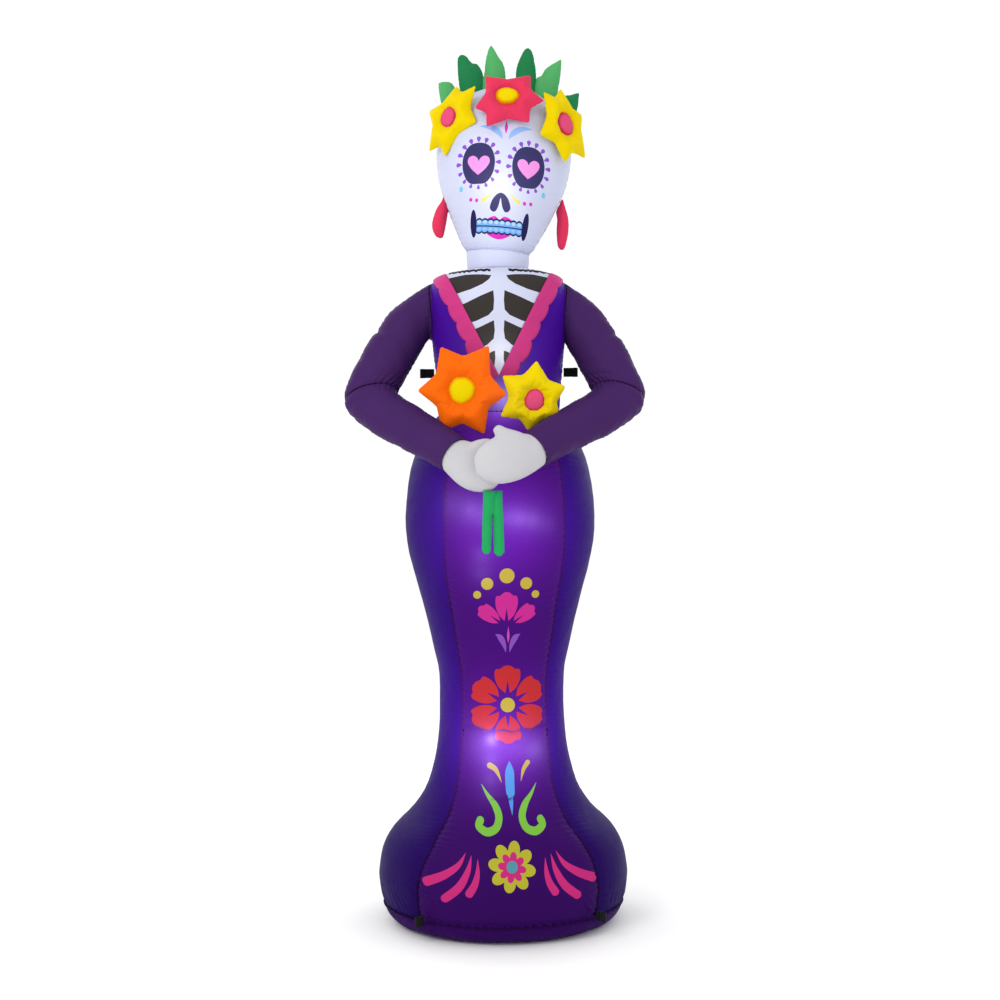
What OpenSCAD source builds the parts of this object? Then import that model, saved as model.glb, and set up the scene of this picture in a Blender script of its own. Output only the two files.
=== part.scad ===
// Inflatable lawn figure of a catrina: a sewn, air-filled skeleton lady in a mermaid gown,
// with a blower in the back of the base and lamps hung inside.
// The origin is on the ground at the middle of the base, +Z is up and the figure faces -Y.

/* [Gown] */
// Height of the hem seam above the ground
hem_z = 55; // [45:1:65]
// Radius of the flat bottom that rests on the ground
foot_r = 272; // [262:1:282]
// Largest radius of the flared base
base_r = 350; // [340:1:360]
// Height of the largest radius of the base
base_z = 145; // [140:1:150]
// Radius at the knees, the narrowest part of the skirt
knee_r = 174; // [168:1:180]
// Radius at the hips
hip_r = 264; // [256:1:270]
// Height of the hips
hip_z = 1120; // [1110:1:1130]
// Radius at the waist seam
waist_r = 173; // [168:1:180]
// Height of the waist seam
waist_z = 1405; // [1400:1:1410]
// Half of the angle that the front panel of the skirt spans
front_half_angle = 42; // [38:1:44]
// Turn of the front panel about the figure's axis, in degrees
front_turn = 4; // [0:1:5]

/* [Bodice] */
// Largest radius of the chest
chest_r = 196; // [190:1:200]
// Height of the top of the shoulders
shoulder_z = 1774; // [1770:1:1778]
// Radius of the neck
neck_r = 88; // [84:1:92]
// Height of the seam where the neck starts
neck_z = 1804; // [1800:1:1810]
// Length of the neck
neck_len = 48; // [44:1:52]
// Height of the point of the neckline
neckline_z = 1500; // [1490:1:1510]
// Half of the width of the neckline at the shoulders
neckline_half_w = 148; // [144:1:152]
// Width of the scalloped trim along the neckline
trim_w = 44; // [38:1:48]

/* [Head] */
// Largest radius of the head
head_r = 190; // [186:1:194]
// Height of the head above the neck
head_h = 460; // [450:1:465]
// Sideways lean of the head in degrees
head_lean = 4; // [3:0.5:4.5]

/* [Arms] */
// Distance of the left elbow from the middle
left_elbow_x = 352; // [346:1:356]
// Distance of the right elbow from the middle
right_elbow_x = 328; // [322:1:334]
// Height of the elbows
elbow_z = 1450; // [1445:1:1455]
// Thickness of the sleeves at the elbow
sleeve_d = 136; // [130:1:140]

/* [Flowers] */
// Radius of the crown flowers, to the tips of their petals
crown_flower_r = 98; // [90:1:102]
// Radius of the large bouquet flower
large_flower_r = 124; // [118:1:128]
// Radius of the small bouquet flower
small_flower_r = 98; // [92:1:100]
// Thickness of a flower
flower_t = 36; // [32:1:40]

/* [Fabric and webbing] */
// Thickness that stands for the sewn cloth
wall = 2.5; // [2:0.1:3]
// Width of the webbing
webbing_w = 25; // [20:1:28]
// Inner radius of the eye in each webbing loop
eye_r = 6; // [5:0.5:7]

/* [Blower] */
// Height of the middle of the blower
blower_z = 150; // [146:1:152]
// Inner radius of the blower's duct
duct_r = 51; // [48:1:52]
// Radius of the inlet flange
flange_r = 74; // [72:1:76]
// Number of blades on the impeller
blade_count = 7; // [5:1:9]
// Radius of the hole in the cable gland
gland_bore_r = 3.2; // [3:0.1:3.4]

/* [Zipper] */
// Length of the zipper
zipper_len = 160; // [150:1:164]
// Width of the zipper tape
tape_w = 32; // [28:1:36]

/* [Hidden] */
$fn = 72;

gown_purple = "#44195f";
side_purple = "#3a1580";
bodice_violet = "#5a22a8";
sleeve_purple = "#4a2e62";
bone_white = "#e8e6f4";
hand_grey = "#d6d6da";
trim_pink = "#d4458f";
petal_red = "#e2405f";
petal_yellow = "#ecd400";
petal_orange = "#ff7a05";
heart_pink = "#ee5f92";
leaf_light = "#5fb974";
leaf_dark = "#2c7d4b";
stem_green = "#1fa552";
webbing_black = "#151515";
blower_black = "#202124";
lamp_white = "#f2f2f2";

front_az = 270;
seam_fr = front_az + front_turn + front_half_angle;
seam_fl = front_az + front_turn - front_half_angle;
seam_br = 45;
seam_bl = 135;

// A smooth curve through the given points, with a number of steps for each span
function spline_at(a, b, c, d, t) =
    0.5 * (2 * b + (c - a) * t + (2 * a - 5 * b + 4 * c - d) * t * t
    + (3 * b - a - 3 * c + d) * t * t * t);
function smooth(p, steps) = [
    for (i = [0 : len(p) - 2]) for (k = [0 : steps - 1])
        spline_at(p[max(i - 1, 0)], p[i], p[i + 1], p[min(i + 2, len(p) - 1)], k / steps),
    p[len(p) - 1]
];
function unit(v) = v / norm(v);
function clamped(p, i) = p[max(0, min(i, len(p) - 1))];

// The same outline moved inwards by the wall; points are [radius, height], going up
function inset(p, gap) = [
    for (i = [0 : len(p) - 1])
        let (d = unit(clamped(p, i + 1) - clamped(p, i - 1)))
        [max(p[i].x - gap * d.y, 0), p[i].y + gap * d.x]
];
function reversed(p) = [for (i = [len(p) - 1 : -1 : 0]) p[i]];

span_steps = 3;
gown_outline = smooth([
    [foot_r, 0], [foot_r + 30, 9], [base_r - 27, 29], [base_r - 15, hem_z],
    [base_r - 4, 105], [base_r, base_z], [base_r - 11, 200],
    [base_r - 46, 257], [248, 313], [207, 380], [knee_r + 10, 470], [knee_r, 560],
    [knee_r, 680], [knee_r + 13, 750], [219, 885], [254, 1015], [hip_r, hip_z],
    [249, 1250], [218, 1330], [waist_r, waist_z]
], span_steps);
hem_step = 3 * span_steps;
gown_last = len(gown_outline) - 1;
bodice_outline = smooth([
    [waist_r, waist_z], [173, 1450], [181, 1540], [188, 1610], [chest_r, 1690],
    [chest_r - 3, 1742], [180, shoulder_z], [150, 1791], [neck_r, neck_z]
], span_steps);
bodice_table = [for (p = bodice_outline) [p.y, p.x]];
head_outline = smooth([
    [neck_r, 0], [104, 20], [124, 60], [150, 115], [178, 188], [head_r, 262], [184, 330],
    [158, 388], [104, 436], [48, head_h - 3], [0, head_h]
], span_steps);

// A shell of revolution between two directions, given in degrees from +X
module gore(outline, from, to) {
    stretch(outline, 0, len(outline) - 1, from, to);
}

// The same for one stretch of the outline, from the step first to the step last
module stretch(outline, first, last, from, to) {
    inner = inset(outline, wall);
    rotate([0, 0, from]) rotate_extrude(angle = to - from)
        polygon(concat([for (i = [first : last]) outline[i]],
            [for (i = [last : -1 : first]) inner[i]]));
}

// A closed solid through rings that all have the same number of points
module loft(rings) {
    n = len(rings[0]);
    last = len(rings) - 1;
    points = [for (ring = rings) for (p = ring) p];
    sides = [
        for (r = [0 : last - 1]) for (k = [0 : n - 1])
            let (a = r * n + k, b = r * n + (k + 1) % n)
            for (tri = [[a, b, b + n], [a, b + n, a + n]]) tri
    ];
    foot = [for (k = [n - 1 : -1 : 0]) k];
    top = [for (k = [0 : n - 1]) last * n + k];
    polyhedron(points, concat(sides, [foot, top]));
}

// The points of an ellipse around c, across the direction along, with half-axis b towards ref
function ellipse(c, along, ref, a, b, n) =
    let (t = unit(along), u = unit(cross(t, ref)), v = cross(u, t))
    [for (k = [0 : n - 1]) c + a * cos(360 * k / n) * u + b * sin(360 * k / n) * v];

// Rings along a path of stations [centre, half-axis across, half-axis towards ref]
function along(s, i) = clamped(s, i + 1)[0] - clamped(s, i - 1)[0];
function tube(s, ref, n) = [
    for (i = [0 : len(s) - 1]) ellipse(s[i][0], along(s, i), ref, s[i][1], s[i][2], n)
];

module skirt_front() {
    color(gown_purple) stretch(gown_outline, hem_step, gown_last, seam_fl, seam_fr);
}

module skirt_left() {
    color(side_purple) stretch(gown_outline, hem_step, gown_last, seam_bl, seam_fl);
}

module skirt_right() {
    color(side_purple) stretch(gown_outline, hem_step, gown_last, seam_fr, 360 + seam_br);
}

collar_r = flange_r + 5;
collar_y = base_r - 12;
gland_az = 112;
gland_z = 118;
gland_tube_r = 6.5;
zipper_z = 620;
slot_w = 10;

module skirt_back() {
    color(side_purple) difference() {
        stretch(gown_outline, hem_step, gown_last, seam_br, seam_bl);
        translate([0, base_r - 60, blower_z]) rotate([-90, 0, 0])
            cylinder(r = collar_r + 0.2, h = 80);
        rotate([0, 0, gland_az]) translate([base_r - 30, 0, gland_z]) rotate([0, 90, 0])
            cylinder(r = gland_tube_r, h = 60);
        translate([-slot_w / 2, knee_r - 30, zipper_z - zipper_len / 2 + 8])
            cube([slot_w, 60, zipper_len - 16]);
    }
}

module base_band() {
    color(gown_purple) stretch(gown_outline, 0, hem_step, 0, 360);
}

module base_floor() {
    color(side_purple) cylinder(r = foot_r - 1.2, h = wall - 0.2);
}

// The neckline as seen from the front, made as a block from the middle forwards
module neckline(grow) {
    rotate([90, 0, 0]) linear_extrude(height = 260)
        polygon([
            [-neckline_half_w - grow, neck_z + 20], [-neckline_half_w - grow, shoulder_z + 17],
            [0, neckline_z - grow * 2], [neckline_half_w + grow, shoulder_z + 17],
            [neckline_half_w + grow, neck_z + 20]
        ]);
}

module chest_panel() {
    color(bone_white) intersection() {
        gore(bodice_outline, 180, 360);
        neckline(0);
    }
}

module bodice_front_left() {
    color(bodice_violet) difference() {
        gore(bodice_outline, 180, front_az);
        neckline(0);
    }
}

module bodice_front_right() {
    color(bodice_violet) difference() {
        gore(bodice_outline, front_az, 360);
        neckline(0);
    }
}

module bodice_back() {
    color(bodice_violet) gore(bodice_outline, 0, 180);
}

// One strip of scalloped trim beside the neckline; it lies on the front of the bodice
trim_gap = 0.5;
trim_t = 4;
scallops = 6;
scallop_steps = 6;
trim_top = [neckline_half_w, shoulder_z + 17];
trim_foot = [0, neckline_z];

function on_front(x, z, lift) =
    let (r = lookup(z, bodice_table) + lift, reach = min(x, r * 0.998))
    [reach, -sqrt(r * r - reach * reach), z];

module trim_strip(side) {
    run = trim_top - trim_foot;
    out = [unit(run).y, -unit(run).x];
    scallop_r = norm(run) / scallops / 2;
    stations = scallops * scallop_steps;
    function reach(i) = trim_w - scallop_r
        + scallop_r * sqrt(1 - pow(2 * (i % scallop_steps) / scallop_steps - 1, 2));
    function spot(i, share, lift) =
        let (p = trim_foot + run * i / stations + out * reach(i) * share)
        on_front(p.x, p.y, lift);
    mirror([side < 0 ? 1 : 0, 0, 0]) loft([
        for (i = [0 : stations]) concat(
            [for (share = [1, 0.66, 0.33, 0]) spot(i, share, trim_gap)],
            [for (share = [0, 0.33, 0.66, 1]) spot(i, share, trim_gap + trim_t)])
    ]);
}

module trim_left() {
    color(trim_pink) trim_strip(-1);
}

module trim_right() {
    color(trim_pink) trim_strip(1);
}

// Places its children in the head's own frame, with its origin at the top of the neck
neck_top = neck_z + neck_len;

module on_head() {
    translate([0, 0, neck_top]) rotate([0, head_lean, 0]) children();
}

module neck_band() {
    neck_outline = [[neck_r, neck_z], [neck_r, neck_top + 8]];
    color(bone_white) difference() {
        gore(neck_outline, 0, 360);
        on_head() translate([0, 0, 20]) cube([240, 240, 40], center = true);
    }
}

module face_panel() {
    color(bone_white) on_head() gore(head_outline, 180, 360);
}

module head_back_panel() {
    color(bone_white) on_head() gore(head_outline, 0, 180);
}

// Sleeves: the armhole follows the round of the bodice, then the path runs to the elbow
sleeve_sides = 20;
armhole_z = 1694;
armhole_half_w = 74;
armhole_half_h = 84;
armhole_gap = 0.4;
elbow_y = -80;
left_cuff = [-124, -268, 1286];
right_cuff = [100, -276, 1300];
cuff_r = 51;
elbow_half_h = 77;

function on_bodice(side, y, z) =
    [side * sqrt(pow(lookup(z, bodice_table) + armhole_gap, 2) - y * y), y, z];
function armhole_ring(side, share) = [
    for (k = [0 : sleeve_sides - 1])
        let (turn = 360 * k / sleeve_sides)
        on_bodice(side, -side * share * armhole_half_w * sin(turn),
            armhole_z - share * armhole_half_h * cos(turn))
];

function elbow_at(side, elbow_x) = [side * elbow_x, elbow_y, elbow_z];
function above_elbow(side, elbow_x) = [side * 0.92 * elbow_x, -54, 1526];

// Rings of a sleeve along a path of [centre, half-axis across, half-axis towards the front]
function sleeve_rings(side, path, first, last) = [
    for (i = [first : last])
        ellipse(path[i][0], along(path, i), [0, -side, 0], path[i][1], path[i][2], sleeve_sides)
];

// The seam where both halves of a sleeve meet, halfway between their directions
function elbow_ring(side, elbow_x, cuff) =
    let (elbow = elbow_at(side, elbow_x))
    ellipse(elbow, unit(elbow - above_elbow(side, elbow_x)) + unit(cuff - elbow),
        [0, -side, 0], elbow_half_h, sleeve_d / 2 - 2, sleeve_sides);

module upper_sleeve(side, elbow_x, cuff) {
    path = [
        [[side * chest_r, 0, armhole_z], 0, 0], [[side * 0.69 * elbow_x, -14, 1658], 64, 72],
        [[side * 0.82 * elbow_x, -32, 1588], 67, 70], [above_elbow(side, elbow_x), 69, 68],
        [elbow_at(side, elbow_x), 0, 0]
    ];
    loft(concat([for (share = [0.35, 0.7, 1]) armhole_ring(side, share)],
        sleeve_rings(side, path, 1, 3), [elbow_ring(side, elbow_x, cuff)]));
}

module lower_sleeve(side, elbow_x, cuff) {
    elbow = elbow_at(side, elbow_x);
    run = cuff - elbow;
    r = sleeve_d / 2;
    path = [
        [elbow, 0, 0], [elbow + run * 0.22 + [side * 12, 0, -10], r - 5, r - 5],
        [elbow + run * 0.5 + [side * 5, 0, -7], r - 9, r - 9],
        [elbow + run * 0.8 + [0, 0, -2], r - 14, r - 14]
    ];
    loft(concat([elbow_ring(side, elbow_x, cuff)],
        sleeve_rings(side, concat(path, [[cuff, 0, 0]]), 1, 3),
        [ellipse(cuff, run, [0, -side, 0], cuff_r, cuff_r - 2, sleeve_sides)]));
}

module upper_sleeve_left() {
    color(sleeve_purple) upper_sleeve(-1, left_elbow_x, left_cuff);
}

module upper_sleeve_right() {
    color(sleeve_purple) upper_sleeve(1, right_elbow_x, right_cuff);
}

module lower_sleeve_left() {
    color(sleeve_purple) lower_sleeve(-1, left_elbow_x, left_cuff);
}

module lower_sleeve_right() {
    color(sleeve_purple) lower_sleeve(1, right_elbow_x, right_cuff);
}

// The hands are mitts that start at the cuffs; the right one lies in front of the left one
front_ref = [0, -1, 0];

function hand_rings(side, elbow_x, cuff, path) =
    let (run = unit(cuff - elbow_at(side, elbow_x)))
    concat([ellipse(cuff + run, run, front_ref, 46, 42, 20)], tube(path, front_ref, 20));

module hand_left() {
    color(hand_grey) loft(hand_rings(-1, left_elbow_x, left_cuff, [
        [[-94, -279, 1268], 56, 34], [[-62, -281, 1256], 60, 31], [[-32, -280, 1250], 48, 26],
        [[-12, -279, 1248], 22, 14]
    ]));
}

module hand_right() {
    color(hand_grey) union() {
        loft(hand_rings(1, right_elbow_x, right_cuff, [
            [[70, -306, 1290], 56, 38], [[32, -336, 1278], 64, 34], [[-8, -349, 1272], 63, 32],
            [[-44, -351, 1267], 50, 28], [[-66, -351, 1265], 22, 14]
        ]));
        loft(tube([
            [[34, -342, 1310], 16, 14], [[18, -346, 1332], 17, 15],
            [[0, -348, 1350], 14, 12], [[-10, -349, 1358], 6, 6]
        ], front_ref, 12));
    }
}

// A star-shaped pillow with rounded valleys; its seam lies in the XZ plane, it faces -Y
// and its back is flatter than its front
petals = 6;
flower_sides = 48;
flower_back_t = 10;
flower_front_t = flower_t - flower_back_t;

module flower(r) {
    shares = [0.35, 0.65, 0.88];
    function bulge(share, t) = t * sqrt(1 - pow(share, 2.4));
    function reach(turn) = r * (0.78 + 0.22 * pow(abs(cos(petals * turn / 2)), 1.3));
    function star_ring(share, y) = [
        for (k = [0 : flower_sides - 1])
            let (turn = 360 * k / flower_sides, e = reach(turn) * share)
            [e * sin(turn), y, e * cos(turn)]
    ];
    loft(concat(
        [for (share = shares) star_ring(share, -bulge(share, flower_front_t))],
        [star_ring(1, 0)],
        [for (share = reversed(shares)) star_ring(share, bulge(share, flower_back_t))]
    ));
}

// The domed middle of a flower
module flower_dome(r, h) {
    rotate([90, 0, 0]) rotate_extrude()
        polygon(concat([[0, 0]], [for (a = [0 : 15 : 90]) [r * cos(a), h * sin(a)]]));
}

// Each place is [position, turn about +Z, tilt backwards, roll in its own plane]
crown_left_place = [[-137, -114, 2206], -44, -4, 10];
crown_middle_place = [[19, -172, 2240], 0, -30, 30];
crown_right_place = [[172, -124, 2190], 50, -4, 14];
large_place = [[-98, -224, 1452], -4, 6, 27];
small_place = [[92, -214, 1427], 6, 6, 4];

module placed(place) {
    translate(place[0]) rotate([0, 0, place[1]]) rotate([place[2], 0, 0])
        rotate([0, place[3], 0]) children();
}

module dome_on(place, r, h) {
    placed(place) translate([0, -flower_front_t - 0.2, 0]) flower_dome(r, h);
}

module crown_flower_left() {
    color(petal_yellow) placed(crown_left_place) flower(crown_flower_r);
}

module crown_flower_middle() {
    color(petal_red) placed(crown_middle_place) flower(crown_flower_r);
}

module crown_flower_right() {
    color(petal_yellow) placed(crown_right_place) flower(crown_flower_r);
}

module crown_centre_left() {
    color(heart_pink) dome_on(crown_left_place, 32, 15);
}

module crown_centre_middle() {
    color(petal_yellow) dome_on(crown_middle_place, 34, 15);
}

module crown_centre_right() {
    color(heart_pink) dome_on(crown_right_place, 33, 15);
}

module bouquet_flower_large() {
    color(petal_orange) placed(large_place) flower(large_flower_r);
}

module bouquet_flower_small() {
    color(petal_yellow) placed(small_place) flower(small_flower_r);
}

module bouquet_centre_large() {
    color(petal_yellow) dome_on(large_place, 38, 18);
}

module bouquet_centre_small() {
    color(heart_pink) dome_on(small_place, 31, 15);
}

// A pointed pillow from foot to tip, half as wide as w at its widest
module leaf(foot, tip, w, t) {
    stations = [[0, 0.55], [0.2, 0.88], [0.42, 1], [0.65, 0.84], [0.85, 0.5], [1, 0.1]];
    loft(tube([
        for (s = stations) [foot + (tip - foot) * s[0], w / 2 * s[1], t / 2 * sqrt(s[1])]
    ], [0, -1, 0], 14));
}

module leaf_1() {
    color(leaf_light) leaf([-128, -18, 2252], [-176, -18, 2330], 62, 34);
}

module leaf_2() {
    color(leaf_dark) leaf([-74, -14, 2292], [-108, -14, 2412], 74, 36);
}

module leaf_3() {
    color(leaf_light) leaf([-14, -8, 2316], [-25, -8, 2438], 70, 36);
}

module leaf_4() {
    color(leaf_dark) leaf([72, -8, 2316], [78, -8, 2430], 62, 36);
}

module leaf_5() {
    color(leaf_light) leaf([120, -14, 2286], [168, -14, 2393], 64, 36);
}

module leaf_6() {
    color(leaf_dark) leaf([178, -18, 2232], [220, -18, 2300], 62, 34);
}

// The earrings swing on the rolled edge at their top, whose axis runs along Y
left_earring_top = [-160, 0, 2004];
right_earring_top = [187, 0, 1996];
roll_r = 3;
roll_len = 34;

module earring(top, lean, len, w, t) {
    foot = top + [len * sin(lean), 0, -len * cos(lean)];
    step = (foot - top) / len;
    translate(top) rotate([90, 0, 0]) cylinder(r = roll_r, h = roll_len, center = true);
    loft(tube([
        [top + step * 2, 3, 10], [top + step * len * 0.14, w * 0.34, t * 0.4],
        [top + step * len * 0.45, w * 0.48, t * 0.5],
        [top + step * len * 0.78, w * 0.5, t * 0.5],
        [top + step * len * 0.93, w * 0.36, t * 0.38], [foot, w * 0.12, t * 0.14]
    ], [0, -1, 0], 14));
}

module earring_left() {
    color(petal_red) union() earring(left_earring_top, -7, 114, 46, 30);
}

module earring_right() {
    color(petal_red) union() earring(right_earring_top, -5, 138, 42, 30);
}

// The stems swing forwards on a rolled edge under the hands, whose axis runs along X
stem_pivot = [0, -292, 1180];

module stem(x_top, x_foot, w, len) {
    top = [x_top, stem_pivot.y, stem_pivot.z];
    foot = [x_foot, stem_pivot.y, stem_pivot.z - len];
    translate(top) rotate([0, 90, 0]) cylinder(r = roll_r, h = w, center = true);
    loft(tube([
        [top + [0, 0, -1], w / 2, 2.5], [top + (foot - top) * 0.2, w / 2, 9],
        [top + (foot - top) * 0.6, w / 2, 11], [top + (foot - top) * 0.93, w * 0.42, 9],
        [foot, w * 0.16, 3]
    ], [0, -1, 0], 14));
}

module stem_left() {
    color(stem_green) union() stem(-36, -36, 27, 158);
}

module stem_right() {
    color(stem_green) union() stem(-6, -3, 30, 164);
}

// A loop of webbing that points along +X from its seam, with its eye upright
ply = 2;

module webbing_loop(len) {
    eye_x = len - eye_r - ply;
    difference() {
        union() {
            translate([0, -ply, 0]) cube([eye_x, 2 * ply, webbing_w]);
            translate([eye_x, 0, 0]) cylinder(r = eye_r + ply, h = webbing_w);
        }
        translate([eye_x, 0, -1]) cylinder(r = eye_r, h = webbing_w + 2);
    }
}

tether_z = 1507;
tether_len = 40;
stake_len = 30;
tether_seam_r = lookup(tether_z + webbing_w, bodice_table);

module tether_loops() {
    color(webbing_black) for (az = [0, 180])
        rotate([0, 0, az]) translate([tether_seam_r + 0.6, 0, tether_z])
            webbing_loop(tether_len);
}

module stake_loops() {
    color(webbing_black) for (az = [seam_fl, seam_fr, seam_br, seam_bl])
        rotate([0, 0, az]) translate([base_r - 6.5, 0, hem_z - 7])
            webbing_loop(stake_len);
}

// The blower is round about an axis along Y; each solid below is made upright first,
// with its height counted from the outside face of the collar, positive to the outside
screw_r = 2;
screw_circle_r = flange_r - 8;
screw_angles = [45 : 90 : 315];
collar_depth = 30;
grille_t = 8;
duct_wall = 3;
duct_len = 78;
motor_r = 18;
shaft_r = 2.5;
running_gap = 0.05;

module at_blower() {
    translate([0, collar_y, blower_z]) rotate([-90, 0, 0]) children();
}

module screw_holes(r) {
    for (a = screw_angles)
        rotate([0, 0, a]) translate([screw_circle_r, 0, -60]) cylinder(r = r, h = 120);
}

module ring(inner, outer, from, to) {
    translate([0, 0, from]) difference() {
        cylinder(r = outer, h = to - from);
        translate([0, 0, -1]) cylinder(r = inner, h = to - from + 2);
    }
}

module inlet_collar() {
    color(side_purple) at_blower() difference() {
        union() {
            ring(duct_r + duct_wall + 1, collar_r, -wall, 0);
            ring(collar_r - wall, collar_r, -collar_depth, 0);
        }
        screw_holes(screw_r + 0.4);
    }
}

module inlet_grille() {
    bar = 2.4;
    hub_r = 7;
    color(blower_black) at_blower() difference() {
        union() {
            ring(duct_r, flange_r, 0.3, 0.3 + grille_t);
            translate([0, 0, grille_t - 3.8]) cylinder(r = hub_r, h = 3.4);
            for (r = [12 : 10 : 42]) ring(r, r + bar, grille_t - 3, grille_t);
            for (a = [15 : 60 : 315])
                rotate([0, 0, a]) translate([hub_r - 1, -bar / 2, grille_t - 3.5])
                    cube([duct_r - hub_r + 2, bar, 3.2]);
        }
        screw_holes(screw_r + 0.2);
    }
}

module blower_housing() {
    color(blower_black) at_blower() difference() {
        union() {
            ring(duct_r, flange_r - 3, -wall - 5.3, -wall - 0.3);
            ring(duct_r, duct_r + duct_wall, -duct_len, -wall - 0.3);
        }
        screw_holes(screw_r + 0.2);
    }
}

module blower_screws() {
    color("silver") at_blower() for (a = screw_angles)
        rotate([0, 0, a]) translate([screw_circle_r, 0, 0]) {
            translate([0, 0, -wall - 9]) cylinder(r = screw_r, h = wall + 9 + grille_t + 0.5);
            difference() {
                translate([0, 0, grille_t + 0.4]) cylinder(r = 3.8, h = 2.6);
                translate([-0.5, -5, grille_t + 2]) cube([1, 10, 2]);
            }
        }
}

module blower_motor() {
    color("dimgray") at_blower() translate([0, 0, -66]) difference() {
        union() {
            cylinder(r = motor_r, h = 26);
            cylinder(r = 6, h = 29);
        }
        translate([0, 0, 8]) cylinder(r = shaft_r + running_gap, h = 30);
    }
}

module motor_bracket() {
    color(blower_black) at_blower() translate([0, 0, -72]) union() {
        cylinder(r = motor_r + 2, h = 5.8);
        for (a = [0 : 90 : 270])
            rotate([0, 0, a + 20]) translate([motor_r, -3, 0]) cube([duct_r - motor_r - 0.4, 6, 5]);
    }
}

module impeller() {
    hub_r = 19;
    blade_pitch = 35;
    color("gainsboro") at_blower() union() {
        translate([0, 0, -54]) cylinder(r = shaft_r, h = 20);
        translate([0, 0, -35]) cylinder(r = hub_r, h = 22);
        intersection() {
            translate([0, 0, -35]) cylinder(r = duct_r - 2, h = 22);
            for (k = [0 : blade_count - 1])
                rotate([0, 0, 360 * k / blade_count]) translate([hub_r - 3, 0, -24])
                    rotate([blade_pitch, 0, 0]) translate([0, -15, -1]) cube([40, 30, 2]);
        }
    }
}

module cable_gland() {
    color(blower_black) rotate([0, 0, gland_az]) translate([base_r - 2, 0, gland_z])
        rotate([0, 90, 0]) difference() {
            union() {
                translate([0, 0, -14]) cylinder(r = gland_tube_r - 0.2, h = 20);
                translate([0, 0, 2.4]) cylinder(r = 10, h = 5, $fn = 6);
                translate([0, 0, 7.4]) cylinder(r1 = 8, r2 = 5.5, h = 10);
                translate([0, 0, -9]) cylinder(r = 10, h = 4.5, $fn = 6);
            }
            translate([0, 0, -16]) cylinder(r = gland_bore_r, h = 40);
        }
}

// The lamps hang in a row on one cable, from the top of the head down to the blower
lamp_cable_r = 2.5;
lamp_line_y = -40;
lamp_heights = [500, 1120, 1440, 2030];
lamp_base_r = 17;
lamp_cable_route = [
    [0, 258, 156], [0, 246, 164], [0, 215, 186], [0, 150, 226], [0, 80, 280], [0, 10, 360],
    [0, -30, 430], [0, lamp_line_y, 490], [0, lamp_line_y, 800], [0, lamp_line_y, 1120],
    [0, lamp_line_y, 1500], [0, lamp_line_y, 1900], [4, lamp_line_y, 2150], [12, -20, 2290]
];

module lamp_cable() {
    route = smooth(lamp_cable_route, 4);
    color(lamp_white) loft([
        for (i = [0 : len(route) - 1])
            ellipse(route[i], clamped(route, i + 1) - clamped(route, i - 1), [1, 0, 0],
                lamp_cable_r, lamp_cable_r, 8)
    ]);
}

module at_lamps() {
    for (z = lamp_heights)
        translate([0, lamp_line_y - lamp_cable_r - 1.6, z]) rotate([90, 0, 0]) children();
}

module lamp_bases() {
    color(lamp_white) at_lamps() difference() {
        cylinder(r = lamp_base_r, h = 12);
        translate([0, 0, 9]) cylinder(r = lamp_base_r - 3, h = 4);
    }
}

module lamp_lenses() {
    r = lamp_base_r - 3.2;
    color("ghostwhite") at_lamps() translate([0, 0, 9.2]) rotate_extrude()
        polygon(concat([[0, 0]], [for (a = [0 : 10 : 90]) [r * cos(a), 4 + r * sin(a)]],
            []));
}

// A strap inside the knees ties the two front seams together
module knee_strap() {
    strap_z = 518;
    inner_r = knee_r + 2 - wall;
    half_w = inner_r * sin(front_half_angle) - 1;
    color(webbing_black) rotate([0, 0, front_turn])
        translate([-half_w, -inner_r * cos(front_half_angle), strap_z])
            cube([2 * half_w, 1.6, webbing_w]);
}

// The zipper stands upright on the back of the knees
tape_t = 1.4;
tape_y = knee_r + 2.2;
tooth_pitch = 5;
chain_w = 6;
chain_t = 2.2;
slider_w = 11;
slider_len = 18;
slider_gap = 0.35;
slider_z = zipper_z + zipper_len / 2 - 26;
plate_y = tape_y + tape_t + chain_t + slider_gap;
plate_t = 1.8;
bail_y = plate_y + plate_t + 3;
bail_z = slider_z + 2;
bail_r = 1.2;

module zip_tape() {
    low = zipper_z - zipper_len / 2;
    color("#301048") union() {
        translate([-tape_w / 2, tape_y, low]) cube([tape_w, tape_t, zipper_len]);
        for (z = [low + 8 : tooth_pitch : low + zipper_len - 12])
            translate([-chain_w / 2, tape_y + tape_t, z])
                cube([chain_w, chain_t, tooth_pitch * 0.6]);
        for (z = [low + 3, low + zipper_len - 7])
            translate([-chain_w / 2 - 1, tape_y + tape_t, z]) cube([chain_w + 2, chain_t + 1, 3]);
    }
}

module zip_slider() {
    lip_t = 1.6;
    lip_y = tape_y + tape_t + slider_gap;
    color("silver") union() {
        translate([-slider_w / 2, plate_y, slider_z - slider_len / 2])
            cube([slider_w, plate_t, slider_len]);
        for (x = [-slider_w / 2, slider_w / 2 - lip_t])
            translate([x, lip_y, slider_z - slider_len / 2])
                cube([lip_t, plate_y - lip_y, slider_len]);
        for (x = [-4.6, 3.2])
            translate([x, plate_y + plate_t, bail_z - 2]) cube([1.4, 4.6, 4]);
        translate([-4.4, bail_y, bail_z]) rotate([0, 90, 0]) cylinder(r = bail_r, h = 8.8);
    }
}

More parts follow.
